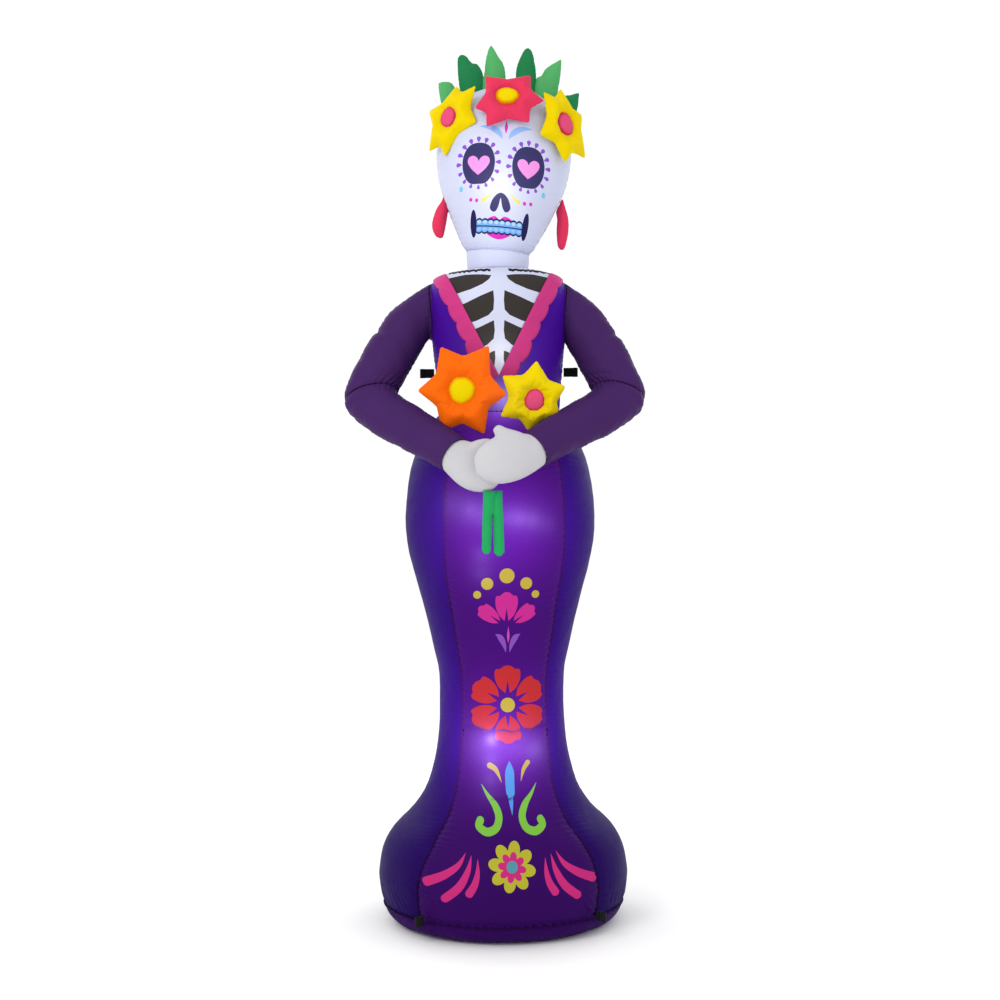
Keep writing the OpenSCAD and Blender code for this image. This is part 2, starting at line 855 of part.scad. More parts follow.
module zip_pull() {
    pull_t = 1.6;
    pull_len = 34;
    color("silver") difference() {
        union() {
            translate([-2.9, bail_y, bail_z]) rotate([0, 90, 0]) cylinder(r = 2.4, h = 5.8);
            translate([-2.9, bail_y - pull_t / 2, bail_z - pull_len]) cube([5.8, pull_t, pull_len]);
            translate([-4, bail_y - pull_t / 2, bail_z - pull_len]) cube([8, pull_t, 14]);
        }
        translate([-5, bail_y, bail_z]) rotate([0, 90, 0])
            cylinder(r = bail_r + running_gap, h = 10);
    }
}

skirt_front();
skirt_left();
skirt_right();
skirt_back();
base_band();
base_floor();
bodice_front_left();
bodice_front_right();
bodice_back();
chest_panel();
neck_band();
face_panel();
head_back_panel();
trim_left();
trim_right();
upper_sleeve_left();
upper_sleeve_right();
lower_sleeve_left();
lower_sleeve_right();
hand_left();
hand_right();
crown_flower_left();
crown_flower_middle();
crown_flower_right();
crown_centre_left();
crown_centre_middle();
crown_centre_right();
leaf_1();
leaf_2();
leaf_3();
leaf_4();
leaf_5();
leaf_6();
earring_left();
earring_right();
bouquet_flower_large();
bouquet_flower_small();
bouquet_centre_large();
bouquet_centre_small();
stem_left();
stem_right();
tether_loops();
stake_loops();
inlet_collar();
inlet_grille();
blower_housing();
blower_screws();
blower_motor();
motor_bracket();
impeller();
cable_gland();
lamp_cable();
lamp_bases();
lamp_lenses();
knee_strap();
zip_tape();
zip_slider();
zip_pull();
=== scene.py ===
"""Looks of an inflatable catrina lawn figure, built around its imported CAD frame.

Lengths are millimetres until a mesh is made. Azimuths are degrees from +X, and the figure faces
-Y.
"""

import math

import bmesh
import bpy
import numpy as np
from mathutils import Matrix, Vector
from mathutils.geometry import delaunay_2d_cdt
from mathutils.kdtree import KDTree


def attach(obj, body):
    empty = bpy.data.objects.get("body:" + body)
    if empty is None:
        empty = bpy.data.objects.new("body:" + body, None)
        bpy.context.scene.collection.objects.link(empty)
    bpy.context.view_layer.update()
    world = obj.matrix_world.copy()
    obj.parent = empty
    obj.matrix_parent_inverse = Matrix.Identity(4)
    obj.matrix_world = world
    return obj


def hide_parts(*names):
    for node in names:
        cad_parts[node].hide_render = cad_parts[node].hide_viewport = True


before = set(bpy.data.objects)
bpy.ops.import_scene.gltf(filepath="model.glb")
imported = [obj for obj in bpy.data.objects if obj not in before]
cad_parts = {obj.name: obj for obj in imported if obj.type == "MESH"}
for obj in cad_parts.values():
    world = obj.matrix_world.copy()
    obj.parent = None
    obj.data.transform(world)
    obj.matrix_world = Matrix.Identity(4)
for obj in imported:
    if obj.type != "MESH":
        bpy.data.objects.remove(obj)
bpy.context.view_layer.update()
scene = bpy.context.scene
MM = 0.001
CLOTH_T = 0.8

# ---- directions, heights and radii that the CAD pieces have ----
FRONT, BACK = 270, 90
PRINT_AZ = 274
SEAMS = {"front_left": 232, "front_right": 316, "back_right": 45, "back_left": 135}
HEM_Z, WAIST_Z, NECK_Z, NECK_TOP = 55, 1405, 1804, 1852
NECKLINE_FOOT, NECKLINE_TOP, NECKLINE_HALF = 1500, 1791, 148
FLOOR_R, COLLAR_R, COLLAR_Y, COLLAR_DEPTH, DUCT_HOLE_R = 271, 79, 338, 30, 55
BLOWER_Z, INLET_HOLE_R, BACK_R, ZIP_Z = 150, 80, 340, 620
HEAD_LEAN = 4
HEAD = Matrix.Translation((0, 0, NECK_TOP)) @ Matrix.Rotation(math.radians(HEAD_LEAN), 4, "Y")

# Where the lamps shine through the cloth: a place, how far the light spreads, and how strong it is
WIDE_GLOWS = [
    ((0, -165, 500), 125, 0.62), ((0, -235, 1095), 190, 0.50), ((0, -150, 1430), 120, 0.46),
    ((0, -60, 640), 280, 0.12), ((4, -190, 2010), 190, 0.56), ((0, -110, 1850), 110, 0.42),
]
HOT_SPOTS = [
    ((-27, -172, 519), 18, 1.15), ((82, -150, 490), 44, 0.22), ((-50, -165, 508), 60, 0.16),
    ((30, -176, 508), 60, 0.14), ((-29, -176, 465), 30, 0.20), ((-31, -182, 415), 30, 0.14),
    ((-31, -190, 372), 28, 0.06), ((-74, -236, 1137), 36, 0.22), ((-120, -215, 1150), 52, 0.10),
    ((-40, -246, 1124), 36, 0.18), ((20, -250, 1118), 30, 0.18), ((50, -248, 1115), 30, 0.24),
    ((84, -240, 1110), 30, 0.18), ((122, -222, 1100), 36, 0.06), ((-47, -240, 1020), 34, 0.12),
    ((-48, -228, 972), 32, 0.09), ((12, -178, 1436), 46, 0.50), ((0, -194, 1996), 50, 0.60),
    ((-4, -180, 1560), 60, 0.25),
]


def hexed(code):
    """A linear RGBA colour from its sRGB code."""
    parts = [int(code[i : i + 2], 16) / 255 for i in (0, 2, 4)]
    return [p / 12.92 if p <= 0.04045 else ((p + 0.055) / 1.055) ** 2.4 for p in parts] + [1]


GOWN, SIDE, BODICE = "300654", "1f054e", "3e068a"
BONE, GLOVE, SLEEVE, TRIM = "c9cee4", "c8c8ca", "44265e", "c83a80"
RED, YELLOW, ORANGE, PINK = "e0385c", "ead000", "fa6a08", "e2507c"
LIGHT_LEAF, DARK_LEAF, STEM = "56b068", "24804c", "24a45c"
# The seams' thread colour; on the strips along the knee folds this dark colour is painted shade in
# the creases.
SEAM_AND_FOLD_SHADE_DARK, INK = "1f0730", "33305c"

# ---- curves, waves and rings ----


def curve(points, steps=8, closed=False):
    """A smooth curve through the points."""
    p = np.asarray(points, float)
    n = len(p)
    spans = n if closed else n - 1
    pick = (lambda i: p[i % n]) if closed else (lambda i: p[min(max(i, 0), n - 1)])
    out = []
    for i in range(spans):
        a, b, c, d = pick(i - 1), pick(i), pick(i + 1), pick(i + 2)
        for k in range(steps):
            t = k / steps
            out.append(0.5 * (2 * b + (c - a) * t + (2 * a - 5 * b + 4 * c - d) * t * t
                              + (3 * b - a - 3 * c + d) * t**3))
    if not closed:
        out.append(p[-1])
    return np.array(out)


def wave(t, pitch, seed):
    """An uneven wave between -1 and 1 with its crests about pitch apart along t."""
    drift = 1.4 * np.sin(t / (pitch * 0.83) + seed) + 0.9 * np.sin(t / (pitch * 2.1) + 2.3 * seed)
    return np.sin(2 * np.pi * t / pitch + drift + 5 * seed)


def creases(t, pitch, seed):
    """Puffs with sharp valleys between them, as cloth has along a sewn seam; from -1 to 0."""
    return np.abs(wave(t, 2 * pitch, seed)) ** 0.75 - 1


def mottle(a, b, size, seed):
    """A soft uneven field between about -1 and 1 over two directions."""
    return (wave(a + 0.31 * b, size, seed) + wave(b - 0.27 * a, size * 1.3, seed + 1.9)
            + wave(a - 0.9 * b, size * 0.7, seed + 4.1)) / 3


def bell(x, width, power=2):
    """1 where x is 0, falling off over width; a higher power makes a flatter top."""
    return np.exp(-((x / width) ** power))


def full_turn(n):
    return np.linspace(0, 2 * np.pi, n)


def run_length(points):
    """How far along a line each of its points lies."""
    return np.concatenate([[0], np.cumsum(np.linalg.norm(np.diff(points, axis=0), axis=1))])


def unit(v):
    return v / np.maximum(np.linalg.norm(v, axis=-1, keepdims=True), 1e-9)


def ellipse_ring(centre, along, ref, a, b, n):
    """Points of an ellipse across a path, with half-axis b towards ref."""
    t = unit(np.asarray(along, float))
    u = unit(np.cross(t, ref))
    v = np.cross(u, t)
    turn = 2 * np.pi * np.arange(n)[:, None] / n
    return np.asarray(centre) + a * np.cos(turn) * u + b * np.sin(turn) * v


# ---- meshes ----


def add_mesh(name, points, faces, uvs=None, tints=None):
    mesh = bpy.data.meshes.new(name)
    mesh.from_pydata((np.asarray(points, float) * MM).tolist(), [], faces)
    mesh.shade_smooth()
    corners = np.empty(len(mesh.loops), np.int32)
    mesh.loops.foreach_get("vertex_index", corners)
    if uvs is not None:
        layer = mesh.uv_layers.new(name="weave")
        layer.data.foreach_set("uv", (np.asarray(uvs)[corners] * MM).astype(np.float32).ravel())
    if tints is not None:
        paint = mesh.color_attributes.new("print", "FLOAT_COLOR", "CORNER")
        counts = [len(f) for f in faces]
        colours = np.repeat(np.asarray(tints, np.float32), counts, axis=0)
        paint.data.foreach_set("color", colours.ravel())
    obj = bpy.data.objects.new(name, mesh)
    scene.collection.objects.link(obj)
    return obj


def grid_faces(rows, columns, closed=False, start=0):
    """Quads between rows of points; closed joins the last column to the first."""
    last = columns if closed else columns - 1
    return [[start + r * columns + k, start + r * columns + (k + 1) % columns,
             start + (r + 1) * columns + (k + 1) % columns, start + (r + 1) * columns + k]
            for r in range(rows - 1) for k in range(last)]


def welded(obj, distance=0.05):
    work = bmesh.new()
    work.from_mesh(obj.data)
    bmesh.ops.remove_doubles(work, verts=work.verts, dist=distance * MM)
    loose = [v for v in work.verts if not v.link_faces]
    bmesh.ops.delete(work, geom=loose, context="VERTS")
    work.to_mesh(obj.data)
    work.free()
    return obj


def moved(points, matrix):
    m = np.array(matrix)
    return points.reshape(-1, 3) @ m[:3, :3].T + m[:3, 3]


def thicken(obj):
    shell = obj.modifiers.new("Thickness", "SOLIDIFY")
    shell.thickness = CLOTH_T * MM
    shell.offset = -1
    shell.use_even_offset = False
    return obj


def soften(obj):
    """One subdivision, as the last step of a pillow or a mitt."""
    smooth = obj.modifiers.new("Smooth", "SUBSURF")
    smooth.levels = smooth.render_levels = 1
    return obj


def set_material(obj, material):
    obj.data.materials.clear()
    obj.data.materials.append(material)


def finish_piece(obj, slot, node, body="figure", material=None):
    """Gives a piece its material and its body, and hides the CAD node that it stands for."""
    set_material(obj, material or CLOTHS[slot])
    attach(obj, body)
    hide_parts(node)
    return obj


# ---- materials ----


class Nodes:
    """A material's node tree with short ways to add nodes and links."""

    def __init__(self, name):
        self.material = bpy.data.materials.new(name)
        self.material.use_nodes = True
        self.tree = self.material.node_tree
        self.shader = self.tree.nodes["Principled BSDF"]
        self.place = self.add("ShaderNodeTexCoord").outputs["Object"]

    def add(self, kind, **settings):
        node = self.tree.nodes.new(kind)
        for key, value in settings.items():
            setattr(node, key, value)
        return node

    def join(self, value, socket):
        if isinstance(value, bpy.types.NodeSocket):
            self.tree.links.new(value, socket)
        else:
            socket.default_value = value

    def set(self, socket, value):
        """A value or a link for one of the shader's own sockets."""
        self.join(value, self.shader.inputs[socket])

    def math(self, operation, a, b=0.0, clamp=False):
        node = self.add("ShaderNodeMath", operation=operation, use_clamp=clamp)
        self.join(a, node.inputs[0])
        self.join(b, node.inputs[1])
        return node.outputs[0]

    def times(self, a, b, clamp=False):
        return self.math("MULTIPLY", a, b, clamp)

    def plus(self, a, b):
        return self.math("ADD", a, b)

    def vector(self, operation, a, b):
        node = self.add("ShaderNodeVectorMath", operation=operation)
        self.join(a if isinstance(a, bpy.types.NodeSocket) else a[:3], node.inputs[0])
        self.join(b, node.inputs["Scale"] if operation == "SCALE" else node.inputs[1])
        return node.outputs[0]

    def noise(self, scale, detail=2.0, where=None):
        node = self.add("ShaderNodeTexNoise")
        self.join(self.place if where is None else where, node.inputs["Vector"])
        node.inputs["Scale"].default_value = scale
        node.inputs["Detail"].default_value = detail
        return node.outputs["Fac"]

    def mix(self, share, a, b, blend="MIX"):
        node = self.add("ShaderNodeMix", data_type="RGBA", blend_type=blend)
        self.join(share, node.inputs["Factor"])
        self.join(a, node.inputs[6])
        self.join(b, node.inputs[7])
        return node.outputs[2]

    def bump(self, height, strength, distance, onto=None):
        node = self.add("ShaderNodeBump")
        node.inputs["Strength"].default_value = strength
        node.inputs["Distance"].default_value = distance
        self.join(height, node.inputs["Height"])
        if onto is not None:
            self.join(onto, node.inputs["Normal"])
        return node.outputs[0]


def glow_sum(n, places):
    """How much lamp light comes through the cloth at each point."""
    total = 0.0
    for place, reach, gain in places:
        away = n.add("ShaderNodeVectorMath", operation="DISTANCE")
        n.join(n.place, away.inputs[0])
        away.inputs[1].default_value = [c * MM for c in place]
        far = n.math("POWER", n.math("DIVIDE", away.outputs["Value"], reach * MM), 2.0)
        fall = n.math("POWER", n.plus(far, 1.0), 2.0)
        total = n.plus(total, n.math("DIVIDE", gain, fall))
    return total


YARN, YARN_ROUGH = 1.6, 0.5
WAVES_TO_SCALE = 0.314  # a wave texture's scale times the width of its bands


def cloth(name, colour=None, glow=0.0, lit="d8c8ff", hot_share=1.0, sheen=0.008, tint="ffffff",
          blocked=0.0):
    """Woven, calendered polyester. With no colour, the colour comes from the mesh's print.
    glow is how strongly the lamps shine through, lit the colour of the cloth right over a lamp,
    blocked how much of that light dark ink holds back."""
    n = Nodes(name)
    if colour is None:
        base = n.add("ShaderNodeVertexColor", layer_name="print").outputs["Color"]
    else:
        base = hexed(colour)
    cloudy = n.noise(7.0, 3.0)
    grain = n.noise(520.0, 1.0)
    shade = base
    for share, grey in ((n.times(cloudy, 0.30), "b8b0c8"), (n.times(grain, 0.22), "a8a8a8")):
        shade = n.mix(share, shade, n.mix(1.0, shade, hexed(grey), "MULTIPLY"))
    n.set("Base Color", shade)
    weave = n.add("ShaderNodeUVMap", uv_map="weave").outputs[0]
    threads = []
    for direction in ("X", "Y"):
        wave_node = n.add("ShaderNodeTexWave", bands_direction=direction)
        n.join(weave, wave_node.inputs["Vector"])
        wave_node.inputs["Scale"].default_value = WAVES_TO_SCALE / (YARN * MM)
        threads.append(wave_node.outputs["Fac"])
    woven = n.bump(n.times(*threads), 0.16, 0.0003)
    crumple = n.bump(n.noise(38.0, 4.0), 0.20, 0.004, woven)
    n.set("Normal", n.bump(grain, 0.12, 0.0003, crumple))
    n.set("Roughness", n.plus(n.times(n.noise(60.0, 2.0), 0.14), YARN_ROUGH - 0.07))
    n.set("Sheen Weight", sheen)
    n.set("Sheen Roughness", 0.4)
    n.set("Sheen Tint", hexed(tint))
    n.set("Specular IOR Level", 0.03)
    if glow:
        grey = n.add("ShaderNodeRGBToBW")
        n.join(base, grey.inputs[0])
        parts = n.add("ShaderNodeSeparateColor")
        n.join(base, parts.inputs[0])
        red, green, blue = parts.outputs[:3]
        peak = n.math("MAXIMUM", n.math("MAXIMUM", red, green), blue)
        held = n.math("SUBTRACT", 1.0, n.times(grey.outputs[0], 4.0))
        passed = n.math("DIVIDE", n.math("MAXIMUM", held, 0.35), n.plus(peak, 0.02))
        ink = n.plus(n.times(grey.outputs[0], 3.0 * blocked, clamp=True), 1.0 - blocked)
        wide = n.times(glow_sum(n, WIDE_GLOWS), n.times(passed, n.times(ink, glow)))
        hot = n.times(glow_sum(n, HOT_SPOTS), n.times(ink, glow * hot_share))
        sparkle = n.plus(n.times(grain, 0.7), 0.65)
        through, over = n.vector("SCALE", base, wide), n.vector("SCALE", hexed(lit)[:3], hot)
        light = n.vector("ADD", through, over)
        n.set("Emission Color", n.vector("SCALE", light, sparkle))
        n.set("Emission Strength", 1.0)
    return n.material


def moulded(name, colour, rough=0.5):
    """Moulded plastic with a fine spark-eroded grain and faint scuffs."""
    n = Nodes(name)
    scuffs = n.noise(24.0, 6.0)
    n.set("Base Color", n.mix(n.times(scuffs, 0.35), hexed(colour), hexed("55565a")))
    n.set("Roughness", n.plus(n.times(scuffs, 0.2), rough - 0.1))
    n.set("Normal", n.bump(n.noise(900.0, 2.0), 0.25, 0.0003))
    return n.material


def metal(name, colour, rough=0.32):
    """Bright plated metal with brushed streaks and dull worn patches."""
    n = Nodes(name)
    stretched = n.add("ShaderNodeMapping")
    stretched.inputs["Scale"].default_value = (1, 1, 14)
    n.join(n.place, stretched.inputs["Vector"])
    streaks = n.noise(420.0, 3.0, stretched.outputs[0])
    worn = n.noise(130.0, 4.0)
    n.set("Base Color", n.mix(n.times(worn, 0.4), hexed(colour), hexed("5c5c60")))
    n.set("Roughness", n.plus(n.times(streaks, 0.25), rough - 0.12))
    n.set("Normal", n.bump(streaks, 0.15, 0.0002))
    n.set("Metallic", 1.0)
    return n.material


def webbing(name, colour):
    """Ribbed polyester webbing."""
    n = Nodes(name)
    rib = n.add("ShaderNodeTexWave", bands_direction="Z")
    n.join(n.place, rib.inputs["Vector"])
    rib.inputs["Scale"].default_value = WAVES_TO_SCALE / (1.8 * MM)
    fuzz = n.noise(700.0, 3.0)
    n.set("Base Color", n.mix(n.times(fuzz, 0.3), hexed(colour), hexed("2c2a30")))
    n.set("Roughness", 0.8)
    n.set("Sheen Weight", 0.04)
    n.set("Specular IOR Level", 0.12)
    n.set("Normal", n.bump(fuzz, 0.4, 0.0004, n.bump(rib.outputs["Fac"], 0.6, 0.0006)))
    return n.material


def lens(name):
    """Frosted clear plastic over a lamp."""
    n = Nodes(name)
    n.set("Base Color", n.mix(n.noise(90.0, 2.0), hexed("f4f6ff"), hexed("dfe6f4")))
    n.set("Normal", n.bump(n.noise(800.0, 1.0), 0.2, 0.0002))
    n.set("Roughness", 0.25)
    n.set("Transmission Weight", 0.5)
    n.set("Emission Color", hexed("ffffff"))
    n.set("Emission Strength", 1.5)
    return n.material


# ---- the surface of revolution that a CAD node's outer wall lies on ----


class Outline:
    """Radius and length along the outline against height, read from a CAD node."""

    def __init__(self, *nodes, place=Matrix.Identity(4)):
        self.place = place
        metres = place.copy()
        metres.translation *= MM
        to_local = metres.inverted()
        turned = to_local.to_3x3()
        rows = {}
        for node in nodes:
            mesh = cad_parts[node].data
            for face in mesh.polygons:
                centre = to_local @ face.center
                normal = turned @ face.normal
                out = normal.x * centre.x + normal.y * centre.y
                if out < 0.03 * math.hypot(centre.x, centre.y):
                    continue
                for i in face.vertices:
                    p = to_local @ mesh.vertices[i].co
                    rows[round(p.z / MM, 1)] = math.hypot(p.x, p.y) / MM
        table = curve([(z, rows[z]) for z in sorted(rows)], 4)
        self.z, self.r = table[:, 0], np.maximum(table[:, 1], 0)
        steps = np.hypot(np.diff(self.z), np.diff(self.r))
        self.s = np.concatenate([[0], np.cumsum(steps)])
        slope = np.stack([np.gradient(self.r, self.s), np.gradient(self.z, self.s)], 1)
        self.tangent = unit(slope)

    def length_at(self, z):
        return np.interp(z, self.z, self.s)

    def radius_at(self, z):
        return np.interp(z, self.z, self.r)

    def r_at(self, s):
        return np.interp(s, self.s, self.r)

    def z_at(self, s):
        return np.interp(s, self.s, self.z)

    def points(self, az, s, lift):
        """Points at azimuth az and outline length s, raised by lift along the surface's normal."""
        tr, tz = np.interp(s, self.s, self.tangent[:, 0]), np.interp(s, self.s, self.tangent[:, 1])
        r, z = self.r_at(s) + lift * tz, self.z_at(s) - lift * tr
        a = np.radians(az)
        p = np.stack([np.maximum(r, 0) * np.cos(a), np.maximum(r, 0) * np.sin(a), z], 1)
        return moved(p, self.place)


GORE_R = 220  # the radius at which a panel's flat pattern has its true width


def turn_between(a, b):
    """Difference of two azimuths, from -180 to 180."""
    return (a - b + 180) % 360 - 180


# How far the front panel's seams drift from their azimuths, as (height, degrees)
DRIFTS = {
    232: [(0, -4.6), (150, -3.5), (250, 0), (400, -1.5), (560, -3), (900, -2.5), (1100, 2.3),
          (1405, 2)],
    316: [(0, 2.8), (150, 1.5), (220, 0), (290, -2.5), (400, -1.5), (560, 1.5), (800, 0.5),
          (1100, -3.5), (1405, -3.5)],
}


def drift(seam_az, z):
    found = np.array(DRIFTS.get(seam_az % 360, [(0, 0), (1, 0)]), float)
    return np.interp(z, found[:, 0], found[:, 1])


def drifted(border, low, high):
    """A panel's border moved with the two seams that it runs between."""
    share = (border[:, 0] - low) / (high - low)
    move = (1 - share) * drift(low, border[:, 1]) + share * drift(high, border[:, 1])
    return border + np.stack([move, 0 * move], 1)


def seam_dip(outline, az, s, seam_az, depth=6.0, pucker=4.6, pitch=15, reach=38, seed=0.0):
    """How the cloth drops into an upright seam, with puckers that run out from it."""
    r = outline.r_at(s)
    away = np.abs(np.radians(turn_between(az, seam_az))) * np.maximum(r, 20)
    fan = reach * (1 + 0.45 * wave(s, 170, seed))
    folds = pucker * creases(s + 0.12 * away, pitch, seed + np.sign(turn_between(az, seam_az)))
    return -depth * bell(away, 15, 1.3) + folds * bell(away, fan, 1.4)


def ring_dip(outline, az, s, seam_s, depth=4.5, pucker=3.4, pitch=20, reach=30, seed=0.0):
    """The same for a seam that runs round the figure."""
    r = np.maximum(outline.r_at(s), 20)
    round_it = np.radians(az) * r
    away = np.abs(s - seam_s)
    fan = reach * (1 + 0.5 * wave(round_it, 150, seed))
    folds = pucker * creases(round_it, pitch, seed)
    return -depth * bell(away, 12, 1.3) + folds * bell(away, fan, 1.4)


def window(low_az, high_az, low_z, high_z, steps=120):
    """The border of a panel between two azimuths and two heights, as (azimuth, height)."""
    up = np.linspace(0, 1, steps)
    z, az = low_z + (high_z - low_z) * up, low_az + (high_az - low_az) * up
    full = np.full(steps, 1.0)
    return np.concatenate([
        np.stack([az, low_z * full], 1)[:-1], np.stack([high_az * full, z], 1)[:-1],
        np.stack([az[::-1], high_z * full], 1)[:-1], np.stack([low_az * full, z[::-1]], 1)[:-1]])


def ccw(shape):
    """The same outline, running counter-clockwise."""
    x, y = shape.T
    area = np.sum(x * np.roll(y, -1) - y * np.roll(x, -1))
    return shape if area > 0 else shape[::-1]


SEAM_HALF_W, SEAM_HEIGHT, SEAM_PROUD, FOLD_PROUD = 2.3, 1.8, 0.9, 4.5
SEAM_ROWS = np.array([(-1.0, -0.4), (-0.55, 0.7), (0.0, 1.0), (0.55, 0.7), (1.0, -0.4)])


def seam_strip(outline, path, relief):
    """The ridge of a sewn seam along (azimuth, height), as points, faces and UVs.
    The path of a fold's edge has the ridge's size as a third column, and lies in a deep groove; the
    patch gives it the dark seam colour as painted shade in the crease."""
    size, proud = (path[:, 2], FOLD_PROUD) if path.shape[1] > 2 else (1.0, SEAM_PROUD)
    half, height = SEAM_HALF_W * size, SEAM_HEIGHT * size
    az, s = path[:, 0], outline.length_at(path[:, 1])
    r = np.maximum(outline.radius_at(path[:, 1]), 1)
    d = unit(np.stack([np.gradient(np.radians(az)) * r, np.gradient(s)], 1))
    rows = []
    for off, up in SEAM_ROWS:
        side_az = az + np.degrees(-d[:, 1] * off * half / r)
        side_s = s + d[:, 0] * off * half
        rows.append(outline.points(side_az, side_s, relief(side_az, side_s) + up * height + proud))
    count, across = len(SEAM_ROWS), SEAM_ROWS[:, 0] * SEAM_HALF_W
    uv = np.stack([np.tile(run_length(rows[2]), count), np.repeat(across, len(path))], 1)
    return np.concatenate(rows), grid_faces(count, len(path)), uv


def upright(az, low, high):
    """A seam path that runs up at one azimuth."""
    z = np.arange(low, high, 3.0)
    return np.stack([az + drift(az, z), z], 1)


def level(z, low=0.0, high=360.0):
    """A seam path that runs round at one height."""
    az = np.arange(low, high + 0.5, 0.8)
    return np.stack([az, np.full(len(az), float(z))], 1)


def border_tree(points):
    """A search tree that tells how far a place is from a border."""
    tree = KDTree(len(points))
    for i, p in enumerate(points):
        tree.insert((p[0], p[1], 0), i)
    tree.balance()
    return tree


def patch(name, outline, border, relief, tint, prints=(), holes=(), seams=(),
          seam_tint=SEAM_AND_FOLD_SHADE_DARK, across=5.0, up=5.0):
    """One sewn panel as a mesh whose edges follow its border, its holes and its prints.
    border, holes, seams and the prints' shapes are rows of (azimuth, height)."""

    def flat(shape):
        shape = np.asarray(shape, float)
        return np.stack([np.radians(shape[:, 0]) * GORE_R, outline.length_at(shape[:, 1])], 1)

    shapes = [flat(border)] + [flat(h) for h in holes] + [flat(p) for p, _ in prints]
    shapes = [ccw(shape) for shape in shapes]
    fixed = np.concatenate(shapes)
    near = border_tree(fixed)
    low, high = shapes[0].min(0), shapes[0].max(0)
    columns = max(int((high[0] - low[0]) / across), 2)
    rows = max(int((high[1] - low[1]) / up), 2)
    inner = [
        (x, y)
        for y in low[1] + (high[1] - low[1]) * (np.arange(rows) + 0.5) / rows
        for x in low[0] + (high[0] - low[0]) * (np.arange(columns) + 0.5) / columns
        if near.find((x, y, 0))[2] > 0.4 * min(across, up)
    ]
    loops, start = [], 0
    for shape in shapes:
        loops.append(list(range(start, start + len(shape))))
        start += len(shape)
    points = [Vector(p) for p in fixed.tolist()] + [Vector(p) for p in inner]
    spots, _, faces, _, _, origin = delaunay_2d_cdt(points, [], loops, 1, 1e-5, True)
    kept, tints = [], []
    colours = [hexed(tint)] + [None] * len(holes) + [hexed(c) for _, c in prints]
    for face, of in zip(faces, origin):
        if 0 in of and not any(1 <= k <= len(holes) for k in of):
            kept.append(list(face))
            tints.append(colours[max(of)])
    uv = np.array([tuple(p) for p in spots])
    az, s = np.degrees(uv[:, 0] / GORE_R), uv[:, 1]
    cloth_points = [outline.points(az, s, relief(az, s))]
    for path in seams:
        strip, strip_faces, strip_uv = seam_strip(outline, path, relief)
        start = sum(len(p) for p in cloth_points)
        cloth_points.append(strip)
        kept += [[start + i for i in f] for f in strip_faces]
        # The strips take the seam colour; on the fold lines this dark colour is painted shade in
        # the creases.
        tints += [hexed(seam_tint)] * len(strip_faces)
        uv = np.concatenate([uv, strip_uv])
    obj = add_mesh(name, np.concatenate(cloth_points), kept, uv, tints)
    return thicken(welded(obj, 0.02))


# ---- prints, drawn as (across, height) seen from the front ----


def dense(shape, step=3.0):
    """The same closed outline with no stretch longer than step."""
    out = []
    for a, b in zip(shape, np.roll(shape, -1, axis=0)):
        n = max(int(math.ceil(np.linalg.norm(b - a) / step)), 1)
        out += [a + (b - a) * k / n for k in range(n)]
    return np.array(out)


def oval(x, z, a, b, turn=0):
    t = np.linspace(0, 2 * np.pi, 48, endpoint=False)
    c, s = math.cos(math.radians(turn)), math.sin(math.radians(turn))
    u, v = a * np.cos(t), b * np.sin(t)
    return np.stack([x + u * c - v * s, z + u * s + v * c], 1)


def placed(shape, x, z, turn=0, size=1.0, flip=False):
    """A shape turned clockwise about its own origin, then moved to (x, z)."""
    c, s = math.cos(math.radians(turn)) * size, math.sin(math.radians(turn)) * size
    p = np.array(shape, float)
    if flip:
        p = p[::-1] * [-1, 1]
    return np.stack([x + p[:, 0] * c + p[:, 1] * s, z + p[:, 1] * c - p[:, 0] * s], 1)


def stroke(path, widths):
    """A brush stroke along a smooth path; widths are its half-widths at the path's points."""
    line = curve([(*p, w) for p, w in zip(path, widths)], 8)
    centre, half = line[:, :2], np.maximum(line[:, 2], 0.25)
    d = unit(np.gradient(centre, axis=0))
    side = np.stack([-d[:, 1], d[:, 0]], 1) * half[:, None]
    end = centre[-1]
    swing = np.linspace(np.pi / 2, -np.pi / 2, 9)[1:-1]
    cap = [end + half[-1] * (np.cos(t) * d[-1] + np.sin(t) * side[-1] / half[-1]) for t in swing]
    return np.concatenate([centre + side, np.array(cap), (centre - side)[::-1]])


def mirrored(half):
    """A closed outline from its right half, which runs from its foot to its top."""
    half = np.asarray(half, float)
    return np.concatenate([half, half[::-1][1:] * [-1, 1]])


def lobed_petal(length, half_w, foot):
    """A petal with three lobes and a slit at its foot; it grows upwards from the foot."""
    a, b = half_w, length
    side = curve([(0.17 * a, 0), (0.66 * a, 0.20 * b), (0.95 * a, 0.48 * b), (a, 0.72 * b),
                  (0.9 * a, 0.86 * b), (0.62 * a, 0.87 * b)], 6)
    crown = curve([(0.62 * a, 0.87 * b), (0.42 * a, 0.93 * b), (0.22 * a, 0.99 * b), (0, b)], 5)[1:]
    right = np.concatenate([side, crown])
    outline = np.concatenate([mirrored(right), [[0, 0.46 * b]]])
    return dense(outline + [0, foot])


def round_petals(count, reach, lobe, turn):
    """A flower of round petals as one outline."""
    t = np.linspace(0, 2 * np.pi, count * 24, endpoint=False)
    r = reach * (1 - lobe + lobe * np.abs(np.cos(count * (t - math.radians(turn)) / 2)) ** 0.7)
    return np.stack([r * np.sin(t), r * np.cos(t)], 1)


def heart(x, z, w, h):
    half = curve([(0, -0.5 * h), (0.30 * w, -0.20 * h), (0.49 * w, 0.14 * h), (0.45 * w, 0.40 * h),
                  (0.26 * w, 0.49 * h), (0.08 * w, 0.38 * h), (0, 0.20 * h)], 6)
    return dense(mirrored(half) + [x, z])


def both(shape, centre=0.0):
    """A shape and its mirror image about an upright line."""
    shape = np.asarray(shape, float)
    return [shape, shape[::-1] * [-1, 1] + [2 * centre, 0]]


